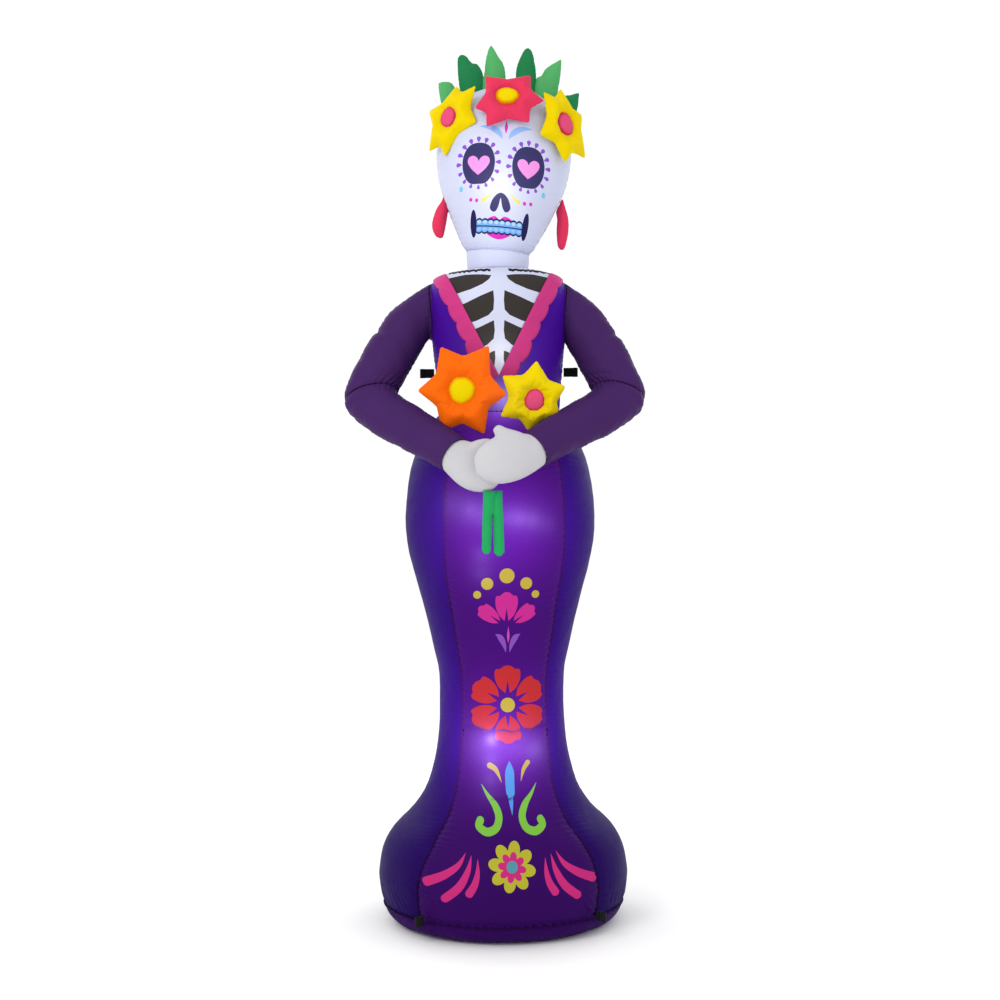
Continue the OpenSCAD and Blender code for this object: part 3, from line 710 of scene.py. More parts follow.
def gown_prints():
    yellow, magenta, lilac, red = "b8a43c", "bd2b86", "7d4aa8", "b02a2c"
    green, blue, lime, rose, teal = "78b840", "4f92d8", "b0ac30", "c02c74", "50909c"
    for x, z, r in ((0, 963, 20), (-52, 942, 16), (52, 942, 16), (-78, 912, 10.5), (78, 912, 10.5)):
        yield oval(x, z, r, r), yellow
    yield placed(lobed_petal(78, 30, 0), 0, 841), magenta
    for flip, x, turn in ((True, -20, -53), (False, 20, 53)):
        yield placed(lobed_petal(68, 20.5, 0), x + 1, 838, turn, flip=flip), magenta
    yield stroke([(5, 781), (5, 800), (5, 825)], [0.3, 3.4, 0.3]), "b84c9c"
    for leaf in both(stroke([(9, 756), (14, 776), (24, 796), (37, 805)], [0.5, 5.5, 7.5, 0.5]), 4):
        yield leaf, lilac
    for k in range(6):
        yield placed(lobed_petal(75, 35, 30), 4, 614, 60 * k), red
    yield oval(4, 612, 19.5, 19.5), yellow
    yield stroke([(-16, 408), (-30, 440), (-46, 452)], [0.3, 6, 8]), yellow
    yield stroke([(36, 410), (44, 440), (56, 458)], [0.3, 5, 6.5]), yellow
    yield stroke([(9, 328), (8, 352), (7, 374), (7, 380), (6, 410), (6, 438), (6, 463)],
                         [0.4, 4.5, 7.5, 11, 12.2, 11, 0.4]), blue
    scroll = [(-70, 404), (-55, 378), (-36, 352), (-27, 324), (-36, 299), (-60, 290), (-80, 302),
              (-76, 316)]
    for shape in both(stroke(scroll, [0.4, 4.5, 8.5, 9.5, 9.5, 9.5, 9.5, 9.5]), 4):
        yield shape, green
    yield placed(round_petals(8, 62, 0.40, 10), 0, 210), lime
    yield placed(round_petals(8, 37, 0.42, 10), 0, 210), rose
    yield oval(0, 212, 14.5, 14.5), teal
    for path, widths in (
        ([(-118, 243), (-140, 212), (-178, 186), (-222, 166)], [0.4, 6.5, 10, 12]),
        ([(-104, 238), (-115, 200), (-138, 160), (-174, 128)], [0.4, 7, 10.5, 11]),
        ([(-88, 230), (-90, 196), (-98, 168), (-112, 145)], [0.4, 6, 9, 10.5]),
    ):
        for shape in both(stroke(path, widths)):
            yield shape, rose


def face_prints():
    petal, pink, sky, magenta, gold = "8c50c8", "e78fd8", "8fb4ee", "d832b8", "dccf66"
    dark, teeth = "1c1c44", "6ea6e8"
    for x, z in ((-65, 216), (70, 213)):
        for k in range(16):
            turn = 360 * k / 16 - 3
            a, b = 52 * math.sin(math.radians(turn)), 61 * math.cos(math.radians(turn))
            out = math.degrees(math.atan2(a, b))
            size = 1.04 - 0.25 * max(0, -b / 61)
            drop = mirrored(curve([(0, -7), (2.8, -3), (5.2, 2.8), (4.2, 6.8), (0, 8.6)], 5))
            yield placed(drop, x + a, z + b, out, size), petal
        socket = curve([(0, 53), (28, 44), (43, 14), (41, -22), (24, -49), (0, -54),
                        (-24, -50), (-41, -22), (-43, 14), (-28, 44)], 6, closed=True)
        yield socket + [x, z], INK
        yield heart(x, z - 6, 60, 50), pink
    brow = stroke([(-4, 280), (-16, 298), (-38, 311), (-68, 314)], [0.4, 7.5, 7, 0.3])
    for shape in both(brow, 4):
        yield shape, sky
    yield stroke([(4, 295), (4, 312), (4, 330)], [0.4, 4.4, 0.4]), magenta
    nose = [(1, 127), (5, 108), (12, 95), (21, 94), (28, 104), (22, 124), (10, 138), (0, 142)]
    yield dense(mirrored(curve(nose, 5))), INK
    for shape in both(stroke([(-25, 139), (-36, 129), (-49, 121)], [0.3, 3.2, 5.2])):
        yield shape, gold
    for x, z, a, b, colour in ((-81, 123, 4.5, 5, magenta), (-65, 121, 4.5, 5, magenta),
                               (65, 120, 4.5, 5, magenta), (82, 121, 4.5, 5, magenta),
                               (-109, 151, 5, 7.5, "76bfe0"), (115, 149, 5, 7.5, "76bfe0")):
        yield oval(x, z, a, b), colour
    lips = curve([(-46, 64), (-28, 78), (-12, 82), (0, 74), (12, 82), (28, 78), (46, 64),
                  (34, 38), (0, 24), (-34, 38)], 7, closed=True)
    yield lips, magenta
    tooth_w = 15.6
    for grow, colour in ((4.6, dark), (0, teeth)):
        t = np.linspace(-62.4 - grow / 2, 62.4 + grow / 2, 130)
        arch = 5.2 * np.abs(np.cos(np.pi * ((np.clip(t, -62.4, 62.4) / tooth_w) % 1 - 0.5))) ** 0.6
        middle = 56 - 0.018 * t
        upper = np.stack([t, middle + 10.5 + arch + grow], 1)
        lower = np.stack([t, middle - 10.5 - arch - grow], 1)[::-1]
        yield np.concatenate([upper, lower]), colour
    for k in range(8):
        x = (k - 3.5) * tooth_w
        yield oval(x, 66.2 - 0.018 * x, 5.6, 4.4), "a9cdf4"
        yield oval(x, 48.6 - 0.018 * x, 5.4, 3.6), "90bcf0"
    yield stroke([(-62, 57.2), (0, 56), (62, 54.8)], [1.5, 1.5, 1.5]), dark
    for x, z, turn in ((-70, 63, 4), (71, 62, -6)):
        yield oval(x, z, 8.5, 35, turn), dark


def chest_prints():
    """The dark gaps between the ribs and the gathered shoulder seam."""
    gaps = [
        [(-160, 1764), (-90, 1773), (-40, 1771), (-18, 1768), (-24, 1757), (-42, 1744), (-74, 1731),
         (-110, 1722), (-150, 1716)],
        [(-120, 1684), (-87, 1695), (-50, 1711), (-13, 1726), (-11, 1700), (-13, 1674), (-26, 1660),
         (-58, 1646), (-90, 1638)],
        [(-80, 1618), (-50, 1629), (-12, 1646), (-10, 1620), (-13, 1597), (-31, 1581), (-60, 1568)],
        [(-36, 1554), (-15, 1564), (-10, 1565), (-9, 1545), (-12, 1524), (-20, 1510)],
    ]
    for gap in gaps:
        for shape in both(gap, 2):
            yield dense(shape), "332f2d"
    for x in (-1, 1):
        t = np.linspace(24, 138, 40)
        ragged = 1.2 * wave(t, 17, x) + 0.8 * wave(t, 9, x + 2)
        top = np.stack([4 + x * t, 1789.5 + ragged], 1)
        foot = np.stack([4 + x * t, 1780.6 + 1.3 * ragged], 1)[::-1]
        yield np.concatenate([top, foot]), "0c0a0c"


WIDEST_PRINT = 0.985  # as a share of the surface's radius


def on_surface(outline, prints, centre_az):
    """Prints as (azimuth, height), from shapes drawn as seen along the centre azimuth."""
    out = []
    for shape, colour in prints:
        r = outline.radius_at(shape[:, 1])
        across = np.clip(shape[:, 0] / np.maximum(r, 1), -WIDEST_PRINT, WIDEST_PRINT)
        out.append((np.stack([centre_az + np.degrees(np.arcsin(across)), shape[:, 1]], 1), colour))
    return out


gown = Outline("skirt_front", "base_band")
bodice = Outline("bodice_back")
head = Outline("head_back_panel", place=HEAD)
HEAD_TOP_Z = 459.6
HEM_S, WAIST_S = gown.length_at(HEM_Z), gown.length_at(WAIST_Z)


def gown_relief(az, s):
    lift = 0.8 * mottle(np.radians(az) * 200, s, 150, 0.4)
    z = gown.z_at(s)
    over_hem = np.clip((z - HEM_Z) / 20 + 1, 0.15, 1)
    for i, seam in enumerate(SEAMS.values()):
        lift += seam_dip(gown, az, s, seam + drift(seam, z), seed=i * 1.7) * over_hem
    lift += ring_dip(gown, az, s, HEM_S, seed=0.9, pitch=22, reach=58, pucker=4.2)
    lift -= 5 * bell(z - 165, 60) * np.abs(np.cos(np.radians(az))) ** 3
    lift += ring_dip(gown, az, s, WAIST_S, seed=2.9, pitch=17, reach=30)
    return lift


KNEE_Z, SHIN_Z, FRONT_HALF_AZ = 540, 366, 42


def knee_fold_z(az):
    away = np.abs(turn_between(az, PRINT_AZ)) / FRONT_HALF_AZ
    return KNEE_Z + 14 * away**2 + 2.5 * wave(az * 3.0, 60, 1.1)


def shin_fold_z(az):
    return SHIN_Z + 2 * wave(az * 4, 30, 0.3)


def fold_shade_lines():
    """Paths of dark strips along the creases of the fold at the knees and of the small one below
    it; their dark colour is painted shade in the creases.
    """
    az = np.arange(236, 312, 0.5)
    deep = 0.75 + 0.35 * wave(az * 3.0, 46, 0.4)
    ends = np.clip(np.minimum(az - 236, 312 - az) / 8, 0.1, 1)
    knee = np.stack([az, knee_fold_z(az) + 1.5, np.maximum(deep, 0.25) * ends], 1)
    low_az = np.arange(262, 280, 0.5)
    small = np.stack([low_az, shin_fold_z(low_az) + 1,
                      0.6 * np.clip(np.minimum(low_az - 262, 280 - low_az) / 5, 0.1, 1)], 1)
    return [knee, small]


def front_relief(az, s):
    """The front panel also has the fold over the strap at the knees, and a small one below it."""
    z = gown.z_at(s)
    away = np.abs(turn_between(az, PRINT_AZ)) / FRONT_HALF_AZ
    drop = z - knee_fold_z(az)
    hold = np.clip((1.04 - away) * 5, 0, 1)
    fold = -13 * bell(drop, 5.0) + 5 * bell(drop + 22, 17)
    fold = fold + 3.5 * bell(drop - 20, 18)
    fold = fold + 1.8 * creases(az * 3.1, 13, 2.2) * bell(drop, 24)
    small = -3.5 * bell(z - shin_fold_z(az), 5) * bell(away, 0.42, 4)
    return gown_relief(az, s) + fold * hold + small


def back_relief(az, s):
    """The back panel lies flat under the zipper and round the inlet."""
    z = gown.z_at(s)
    x = np.radians(turn_between(az, BACK)) * gown.r_at(s)
    zipper = np.exp(-((x / 34) ** 4) - ((z - ZIP_Z) / 104) ** 6)
    inlet = np.exp(-(((x / 105) ** 2 + ((z - BLOWER_Z) / 100) ** 2) ** 3))
    calm = np.clip(1 - zipper - inlet, 0, 1)
    around = np.hypot(x, z - BLOWER_Z)
    folds = 3.5 * creases(np.degrees(np.arctan2(z - BLOWER_Z, x)), 9, 0.7)
    return gown_relief(az, s) * calm - 1.2 * zipper + folds * bell(around - 98, 22)


def bodice_relief(az, s):
    lift = 0.7 * mottle(np.radians(az) * 180, s, 120, 2.2)
    for seam in (0, 180):
        lift += seam_dip(bodice, az, s, seam, seed=seam / 60 + 0.3, reach=26)
    z = bodice.z_at(s)
    middle = seam_dip(bodice, az, s, FRONT, depth=4, pucker=2.2, reach=24, seed=3.1)
    lift += middle * np.clip((NECKLINE_FOOT - z) / 10, 0, 1)
    lift += ring_dip(bodice, az, s, 0, seed=1.4, pitch=17, reach=26)
    top = bodice.s[-1]
    return lift + ring_dip(bodice, az, s, top, seed=4.4, pitch=19, reach=24, depth=1.5, pucker=1.6)


def head_relief(az, s):
    lift = 0.8 * mottle(np.radians(az) * 180, s, 160, 3.2)
    for seam in (0, 180):
        lift += seam_dip(head, az, s, seam, 5, 2.6, 19, 40, seed=seam / 70 + 1)
    return lift + ring_dip(head, az, s, 0, depth=0.6, pucker=1.6, pitch=17, reach=24, seed=5.2)


def neckline_az(z, side):
    """Where the edge of the neckline runs, as an azimuth at each height."""
    x = NECKLINE_HALF * (z - NECKLINE_FOOT) / (NECKLINE_TOP - NECKLINE_FOOT)
    return FRONT + side * np.degrees(np.arcsin(np.minimum(x / bodice.radius_at(z), 1)))


def bodice_border(side):
    z = np.linspace(NECKLINE_FOOT, NECKLINE_TOP, 90)
    edge = np.stack([neckline_az(z, side), z], 1)
    outer = FRONT + side * 90
    rise = np.linspace(WAIST_Z, NECKLINE_TOP, 100)[::-1]
    foot = np.linspace(outer, FRONT, 60)[1:-1]
    middle = np.linspace(WAIST_Z, NECKLINE_FOOT, 24)[:-1]
    return np.concatenate([
        np.stack([np.full(24 - 1, FRONT), middle], 1), edge,
        np.stack([np.full(100, outer), rise], 1), np.stack([foot, np.full(58, WAIST_Z)], 1)])


def chest_border():
    z = np.linspace(NECKLINE_FOOT, NECKLINE_TOP, 90)
    right = np.stack([neckline_az(z, 1), z], 1)
    left = np.stack([neckline_az(z, -1), z], 1)[::-1][:-1]
    across = np.linspace(360, 180, 120)
    top = np.stack([across, np.full(120, NECK_Z)], 1)
    return np.concatenate([right, [[360, NECKLINE_TOP]], top, [[180, NECKLINE_TOP]], left])


# ---- the gown, bodice, neck and head ----

CLOTHS = {
    "gown_cloth": cloth("gown_cloth", glow=1.1, lit="b898ff", tint="6030c0"),
    "gown_side_cloth": cloth("gown_side_cloth", glow=1.7, tint="4020a0", hot_share=0.2),
    "bodice_cloth": cloth("bodice_cloth", glow=0.8, tint="6040c0"),
    "bone_cloth": cloth("bone_cloth", glow=0.9, lit="ffffff", blocked=0.9),
    "trim_cloth": cloth("trim_cloth", TRIM, glow=0.12, tint="ff80b8"),
    "sleeve_cloth": cloth("sleeve_cloth", tint="604080"),
}
for slot, colour, tint in (
    ("yellow_cloth", YELLOW, "fff0a0"), ("red_cloth", RED, "ff9098"),
    ("orange_cloth", ORANGE, "ffc080"), ("pink_cloth", PINK, "ffb0c8"),
    ("light_leaf_cloth", LIGHT_LEAF, "b0f0b8"), ("dark_leaf_cloth", DARK_LEAF, "80d0a0"),
    ("stem_cloth", STEM, "90e0a8"), ("glove_cloth", GLOVE, "ffffff"),
):
    CLOTHS[slot] = cloth(slot, colour, sheen=0.05, tint=tint, glow=0.12)


def inlet_hole():
    """The border of the hole in the back panel that the inlet's collar fills."""
    t = np.linspace(0, 2 * np.pi, 60, endpoint=False)
    across = np.degrees(np.arcsin(INLET_HOLE_R / BACK_R * np.cos(t)))
    return np.stack([BACK + across, BLOWER_Z + INLET_HOLE_R * np.sin(t)], 1)


def sew(node, name, outline, border, relief, tint, slot, *more, **options):
    """A sewn panel in place of a CAD node; what follows the slot is as in patch."""
    panel = patch(name + "_cloth", outline, border, relief, tint, *more, **options)
    finish_piece(panel, slot, node)


FINE, FRONT_UP = {"across": 4.0, "up": 4.0}, {"up": 3.7}
for part, low, high, relief, tint, slot, prints, holes, folds, size in (
    ("skirt_front", SEAMS["front_left"], SEAMS["front_right"], front_relief, GOWN, "gown_cloth",
     on_surface(gown, gown_prints(), PRINT_AZ), [], fold_shade_lines(), FRONT_UP),
    ("skirt_left", SEAMS["back_left"], SEAMS["front_left"], gown_relief, SIDE, "gown_side_cloth",
     (), [], None, {}),
    ("skirt_right", SEAMS["front_right"] - 360, SEAMS["back_right"], gown_relief, SIDE,
     "gown_side_cloth", (), [], None, {}),
    ("skirt_back", SEAMS["back_right"], SEAMS["back_left"], back_relief, SIDE, "gown_side_cloth",
     (), [inlet_hole()], [], {}),
):
    # The front and back panels carry the seams that they share with the side panels; the front
    # panel also carries the strips along its knee folds, whose dark seam colour is painted shade in
    # the creases.
    seams = [] if folds is None else [upright(az, HEM_Z, WAIST_Z) for az in (low, high)] + folds
    border = drifted(window(low, high, HEM_Z, WAIST_Z), low, high)
    sew(part, part, gown, border, relief, tint, slot, prints, holes, seams, **size)
sew("base_band", "base_band", gown, window(0, 360, 0, HEM_Z, 200), gown_relief, GOWN, "gown_cloth",
    seams=[level(HEM_Z)])

for part, side in (("bodice_front_left", -1), ("bodice_front_right", 1)):
    seams = [upright(FRONT, WAIST_Z, NECKLINE_FOOT)] if side < 0 else ()
    sew(part, part, bodice, bodice_border(side), bodice_relief, BODICE, "bodice_cloth", seams=seams)
seams = [upright(az, WAIST_Z, NECKLINE_TOP) for az in (0, 180)] + [level(WAIST_Z + 0.5)]
sew("bodice_back", "bodice_back", bodice, window(0, 180, WAIST_Z, NECK_Z), bodice_relief, BODICE,
    "bodice_cloth", seams=seams)
sew("chest_panel", "chest", bodice, chest_border(), bodice_relief, BONE, "bone_cloth",
    on_surface(bodice, chest_prints(), FRONT), **FINE)
sew("face_panel", "face", head, window(180, 360, 0, HEAD_TOP_Z), head_relief, BONE, "bone_cloth",
    on_surface(head, face_prints(), FRONT), **FINE)
sew("head_back_panel", "head_back", head, window(0, 180, 0, HEAD_TOP_Z), head_relief, BONE,
    "bone_cloth", seams=[upright(0, 3, 457), upright(180, 3, 457), level(1.5)], seam_tint="b4b8d2")

# ---- the trim beside the neckline, the base's floor and the inlet's collar ----

TRIM_W, TRIM_FLAT, TRIM_AREA, TRIM_ROWS, TRIM_COLUMNS = 34, (59, 428), 17700, 241, 9
# The places of the valleys between the scallops along the strip, and how far each scallop reaches
TRIM_VALLEYS = np.array([0, 56, 123, 179, 232, 288, 327]) / 327
TRIM_ARCHES = np.array([8, 13, 10, 8, 8, 7])


def trim(side):
    """One scalloped strip along the neckline, from its foot over the front of the shoulder."""
    foot = np.array([0.0, NECKLINE_FOOT - 2])
    run = np.array([NECKLINE_HALF - 1, NECKLINE_TOP + 1.0]) - foot
    length = float(np.hypot(*run))
    out = np.array([run[1], -run[0]]) / length
    t, share = (np.linspace(0, 1, n) for n in (TRIM_ROWS, TRIM_COLUMNS))
    t, share = np.meshgrid(t, share, indexing="ij")
    k = np.clip(np.searchsorted(TRIM_VALLEYS, t, "right") - 1, 0, len(TRIM_ARCHES) - 1)
    low, high = TRIM_VALLEYS[k], TRIM_VALLEYS[k + 1]
    arch = 1 - (2 * (t - low) / (high - low) - 1) ** 2
    reach = (TRIM_W + TRIM_ARCHES[k] * np.maximum(arch, 0) ** 0.55) * share
    x, z = (foot[k] + run[k] * t + out[k] * reach for k in (0, 1))
    flutter = (1.2 + 0.8 * wave(t * length, 43, side + 2.0)) * share
    r = bodice.radius_at(z) + 2.2 + flutter * 1.5
    x = np.minimum(x, r * 0.998)
    points = np.stack([side * x, -np.sqrt(r**2 - x**2), z], 2).reshape(-1, 3)
    uv = np.stack([reach, t * length], 2).reshape(-1, 2)
    faces = grid_faces(TRIM_ROWS, TRIM_COLUMNS)
    if side > 0:
        faces = [f[::-1] for f in faces]
    return points, faces, uv


for side, word in ((-1, "left"), (1, "right")):
    obj = thicken(add_mesh(f"trim_{word}_cloth", *trim(side)))
    finish_piece(obj, "trim_cloth", f"trim_{word}")


def base_floor():
    share, turn = np.meshgrid(np.linspace(0.02, 1, 40), full_turn(181), indexing="ij")
    x, y = FLOOR_R * share * np.cos(turn), FLOOR_R * share * np.sin(turn)
    puff = 0.5 + 0.45 * creases(turn * FLOOR_R, 22, 1.0) * share**6 + 0.3 * mottle(x, y, 90, 2)
    points = np.stack([x, y, np.maximum(puff, 0.15)], 2).reshape(-1, 3)
    faces = [f[::-1] for f in grid_faces(40, 181)]
    obj = add_mesh("base_floor_cloth", points, faces, points[:, :2], [hexed(SIDE)] * len(faces))
    return thicken(welded(obj))


finish_piece(base_floor(), "gown_side_cloth", "base_floor")


COLLAR_SIDES = 145


def collar():
    """The cuff of cloth that the blower's flanges clamp."""
    profile = curve([(COLLAR_R + 0.6, -COLLAR_DEPTH), (COLLAR_R + 0.4, -14), (COLLAR_R - 0.2, -4),
                     (COLLAR_R - 3, -0.6), (COLLAR_R - 10, -0.1), (DUCT_HOLE_R, 0)], 5)
    turn = full_turn(COLLAR_SIDES)
    flat = np.zeros((1, COLLAR_SIDES))
    r = profile[:, :1] + flat
    r = r + 1.3 * creases(turn * COLLAR_R, 12, 0.6)[None] * bell(r - COLLAR_R, 5)
    points = np.stack([r * np.cos(turn), COLLAR_Y + profile[:, 1:] + flat,
                       BLOWER_Z + r * np.sin(turn)], 2).reshape(-1, 3)
    uv = np.stack([np.tile(turn * COLLAR_R, len(profile)),
                   np.repeat(run_length(profile), COLLAR_SIDES)], 1)
    faces = grid_faces(len(profile), COLLAR_SIDES)
    obj = add_mesh("inlet_collar_cloth", points, faces, uv, [hexed(SIDE)] * len(faces))
    return thicken(welded(obj))


finish_piece(collar(), "gown_side_cloth", "inlet_collar")

# ---- sewn tubes: the sleeves and the neck ----


def tube_cloth(rings, steps, relief):
    """A smooth tube through rings of points, raised by relief(along, turn)."""
    grid = curve(rings, steps)
    rows, n = grid.shape[:2]
    centres = grid.mean(1)
    along = run_length(centres)
    du = np.gradient(grid, axis=0)
    dv = np.roll(grid, -1, axis=1) - np.roll(grid, 1, axis=1)
    normal = unit(np.cross(dv, du))
    outwards = np.sum(normal * (grid - centres[:, None]), axis=2).sum()
    normal *= np.sign(outwards)
    turn = full_turn(n + 1)[None, :-1]
    lift = relief(along[:, None] + np.zeros((rows, n)), turn)
    return grid + normal * lift[..., None], along


def tube_object(name, grid, along, tint, dark_rows=()):
    """A tube's cloth, with its seams' rows in the thread's dark colour."""
    rows, n = grid.shape[:2]
    seam = np.concatenate([grid, grid[:, :1]], axis=1)
    steps = np.linalg.norm(np.diff(seam, axis=1), axis=2)
    round_it = np.concatenate([np.zeros((rows, 1)), np.cumsum(steps, axis=1)], axis=1)
    uv = np.stack([round_it, along[:, None] + np.zeros((rows, n + 1))], 2).reshape(-1, 2)
    faces = grid_faces(rows, n + 1)
    points = seam.reshape(-1, 3)
    tints = [hexed(SEAM_AND_FOLD_SHADE_DARK if i // n in dark_rows else tint) for i in range(len(faces))]
    return welded(add_mesh(name, points, faces, uv, tints))


SLEEVE_SIDES, SLEEVE_STEPS, ELBOW_RING = 120, 16, 4
ELBOWS = {-1: 352, 1: 328}
CUFFS = {-1: (-117, -271, 1281), 1: (88, -286, 1292)}
ARMHOLE_Z, ARMHOLE_HALF_W, ARMHOLE_HALF_H = 1694, 74, 84


def armhole(side):
    turn = 2 * np.pi * np.arange(SLEEVE_SIDES) / SLEEVE_SIDES
    y, z = -side * ARMHOLE_HALF_W * np.sin(turn), ARMHOLE_Z - ARMHOLE_HALF_H * np.cos(turn)
    r = bodice.radius_at(z) - 1
    return np.stack([side * np.sqrt(r**2 - y**2), y, z], 1)


def sleeve(side):
    """Rings of a sleeve from its armhole over the elbow to its cuff."""
    ex, cuff, ref = ELBOWS[side], np.array(CUFFS[side], float), (0, -side, 0)
    elbow, above = np.array([side * ex, -80, 1450.0]), np.array([side * 0.92 * ex, -54, 1526.0])
    run = cuff - elbow
    upper = [np.array([side * 188, 0, 1694.0]), np.array([side * 0.69 * ex, -14, 1658.0]),
             np.array([side * 0.82 * ex, -32, 1588.0]), above, elbow]
    lower = [elbow, elbow + run * 0.22 + [side * 12, 0, -10], elbow + run * 0.5 + [side * 5, 0, -7],
             elbow + run * 0.8 + [0, 0, -2], cuff]
    rings = [armhole(side)]
    for i, (a, b) in enumerate([(64, 72), (67, 70), (69, 68)], 1):
        rings.append(ellipse_ring(upper[i], upper[i + 1] - upper[i - 1], ref, a, b, SLEEVE_SIDES))
    middle = unit(elbow - above) + unit(cuff - elbow)
    rings.append(ellipse_ring(elbow, middle, ref, 77, 66, SLEEVE_SIDES))
    for i, r in enumerate((63, 59, 54), 1):
        rings.append(ellipse_ring(lower[i], lower[i + 1] - lower[i - 1], ref, r, r, SLEEVE_SIDES))
    rings.append(ellipse_ring(cuff, run, ref, 51, 49, SLEEVE_SIDES))
    return np.array(rings)


def sleeve_relief(side):
    """Puckers at the armhole, the elbow and the cuff, and fine ripples across the sleeve."""

    def relief(along, turn):
        end = along[-1, 0]
        at_elbow = along[ELBOW_RING * SLEEVE_STEPS, 0]
        inner = 0.5 + 0.5 * np.cos(turn)
        away = np.abs(along - at_elbow)
        arc = turn * 62
        folds = creases(arc, 13, 1.3 + side)
        lift = -5.5 * bell(away, 9, 1.3)
        lift += (2.0 + 4.5 * inner**2) * folds * bell(away, 16 + 40 * inner, 1.3)
        second = np.abs(along - at_elbow - 26 - 10 * inner)
        lift -= 3.5 * (1 - inner) ** 1.5 * bell(second, 7)
        for seam_at, reach in ((0, 34), (end, 26)):
            gone = np.abs(along - seam_at)
            lift += 2.4 * creases(arc, 15, seam_at * 0.01 + side) * bell(gone, reach, 1.4)
            lift -= 2.5 * bell(gone, 8, 1.3)
        under = np.abs(np.angle(np.exp(1j * (turn - math.pi)))) * 60
        lift -= 2.5 * bell(under, 9, 1.3)
        lift += 2.2 * creases(along, 14, side + 0.4) * bell(under, 24, 1.4)
        patchy = 0.4 + 0.6 * mottle(along, arc, 120, 1)
        ripples = wave(along + 12 * np.sin(turn * 2 + side), 15, 2.0) * patchy
        outer = (1 - inner) ** 2
        kink = 3.5 * bell(along - 172, 15) - 4.5 * bell(along - 150, 8)
        return lift + ripples + 1.7 * mottle(along, arc, 90, side + 3.0) + kink * outer

    return relief


for side, word in ((-1, "left"), (1, "right")):
    grid, along = tube_cloth(sleeve(side), SLEEVE_STEPS, sleeve_relief(side))
    split = ELBOW_RING * SLEEVE_STEPS
    halves = (("upper", slice(0, split + 1), (2,)), ("lower", slice(split, None), (0,)))
    for half, rows, dark in halves:
        obj = tube_object(f"{half}_sleeve_{word}_cloth", grid[rows], along[rows], SLEEVE, dark)
        finish_piece(thicken(obj), "sleeve_cloth", f"{half}_sleeve_{word}")

# ---- the neck ----


NECK_R, NECK_SIDES = 85, 96


def neck_rings():
    turn = 2 * np.pi * np.arange(NECK_SIDES) / NECK_SIDES

    def ring(r, z):
        return np.stack([r * np.cos(turn), r * np.sin(turn), np.full(NECK_SIDES, z)], 1)

    low = ring(NECK_R, float(NECK_Z))
    high = moved(ring(float(head.radius_at(0.5)) + 0.6, 2.0), HEAD)
    return np.array([low, low * 0.67 + high * 0.33, low * 0.33 + high * 0.67, high])


def neck_relief(along, turn):
    ends = np.minimum(along, along.max() - along)
    folds = 2.2 * creases(turn * 88, 15, 0.8) * bell(ends, 14, 1.4)
    return folds - 1.2 * bell(ends, 7, 1.3)


grid, along = tube_cloth(neck_rings(), 6, neck_relief)
finish_piece(thicken(tube_object("neck_cloth", grid, along, BONE)), "bone_cloth", "neck_band")

# ---- pillows: flat outlines sewn edge to edge and blown up by a cloth simulation ----

SIM_SCALE, SIM_FRAMES = 0.02, 36
SIM_SETTINGS = {
    "quality": 5, "mass": 0.25, "tension_stiffness": 40, "compression_stiffness": 40,
    "shear_stiffness": 22, "bending_stiffness": 0.25, "tension_damping": 12,
    "compression_damping": 12, "shear_damping": 12, "air_damping": 2.5, "use_pressure": True,
    "uniform_pressure_force": 7, "vertex_group_mass": "held"}
PILLOW_STEP, HUB_DEPTH = 4.6, 5.0


def pillow_shell(outline, hub=0.0):
    """Two layers that share their edge, as points, faces and which points the middle holds."""
    edge = ccw(dense(np.asarray(outline, float), PILLOW_STEP))
    near = border_tree(edge)
    low, high = edge.min(0), edge.max(0)
    inner, row = [], 0
    for y in np.arange(low[1], high[1], PILLOW_STEP * 0.87):
        row += 1
        for x in np.arange(low[0] + (row % 2) * PILLOW_STEP / 2, high[0], PILLOW_STEP):
            if near.find((x, y, 0))[2] > 0.6 * PILLOW_STEP:
                inner.append((x, y))
    points = [Vector(p) for p in edge.tolist()] + [Vector(p) for p in inner]
    loop = [list(range(len(edge)))]
    spots, _, faces, _, _, origin = delaunay_2d_cdt(points, [], loop, 1, 1e-5, True)
    flat = np.array([tuple(p) for p in spots])
    faces = [list(f) for f, of in zip(faces, origin) if of]
    used = sorted({i for f in faces for i in f})
    renumber = {old: new for new, old in enumerate(used)}
    flat, faces = flat[used], [[renumber[i] for i in f] for f in faces]
    on_edge = np.array([near.find((x, y, 0))[2] < 0.01 for x, y in flat])
    front = np.stack([flat[:, 0], np.where(on_edge, 0, -1.2), flat[:, 1]], 1)
    back_index = np.cumsum(~on_edge) - 1 + len(flat)
    back = front[~on_edge] * [1, -1, 1]
    other = np.where(on_edge, np.arange(len(flat)), back_index)
    points = np.concatenate([front, back])
    held = (np.hypot(points[:, 0], points[:, 2]) < hub) if hub else np.zeros(len(points), bool)
    points[held & (points[:, 1] < 0), 1] = -HUB_DEPTH
    points[held & (points[:, 1] > 0), 1] = 2.0
    faces = faces + [[int(other[i]) for i in f[::-1]] for f in faces]
    return points, faces, held


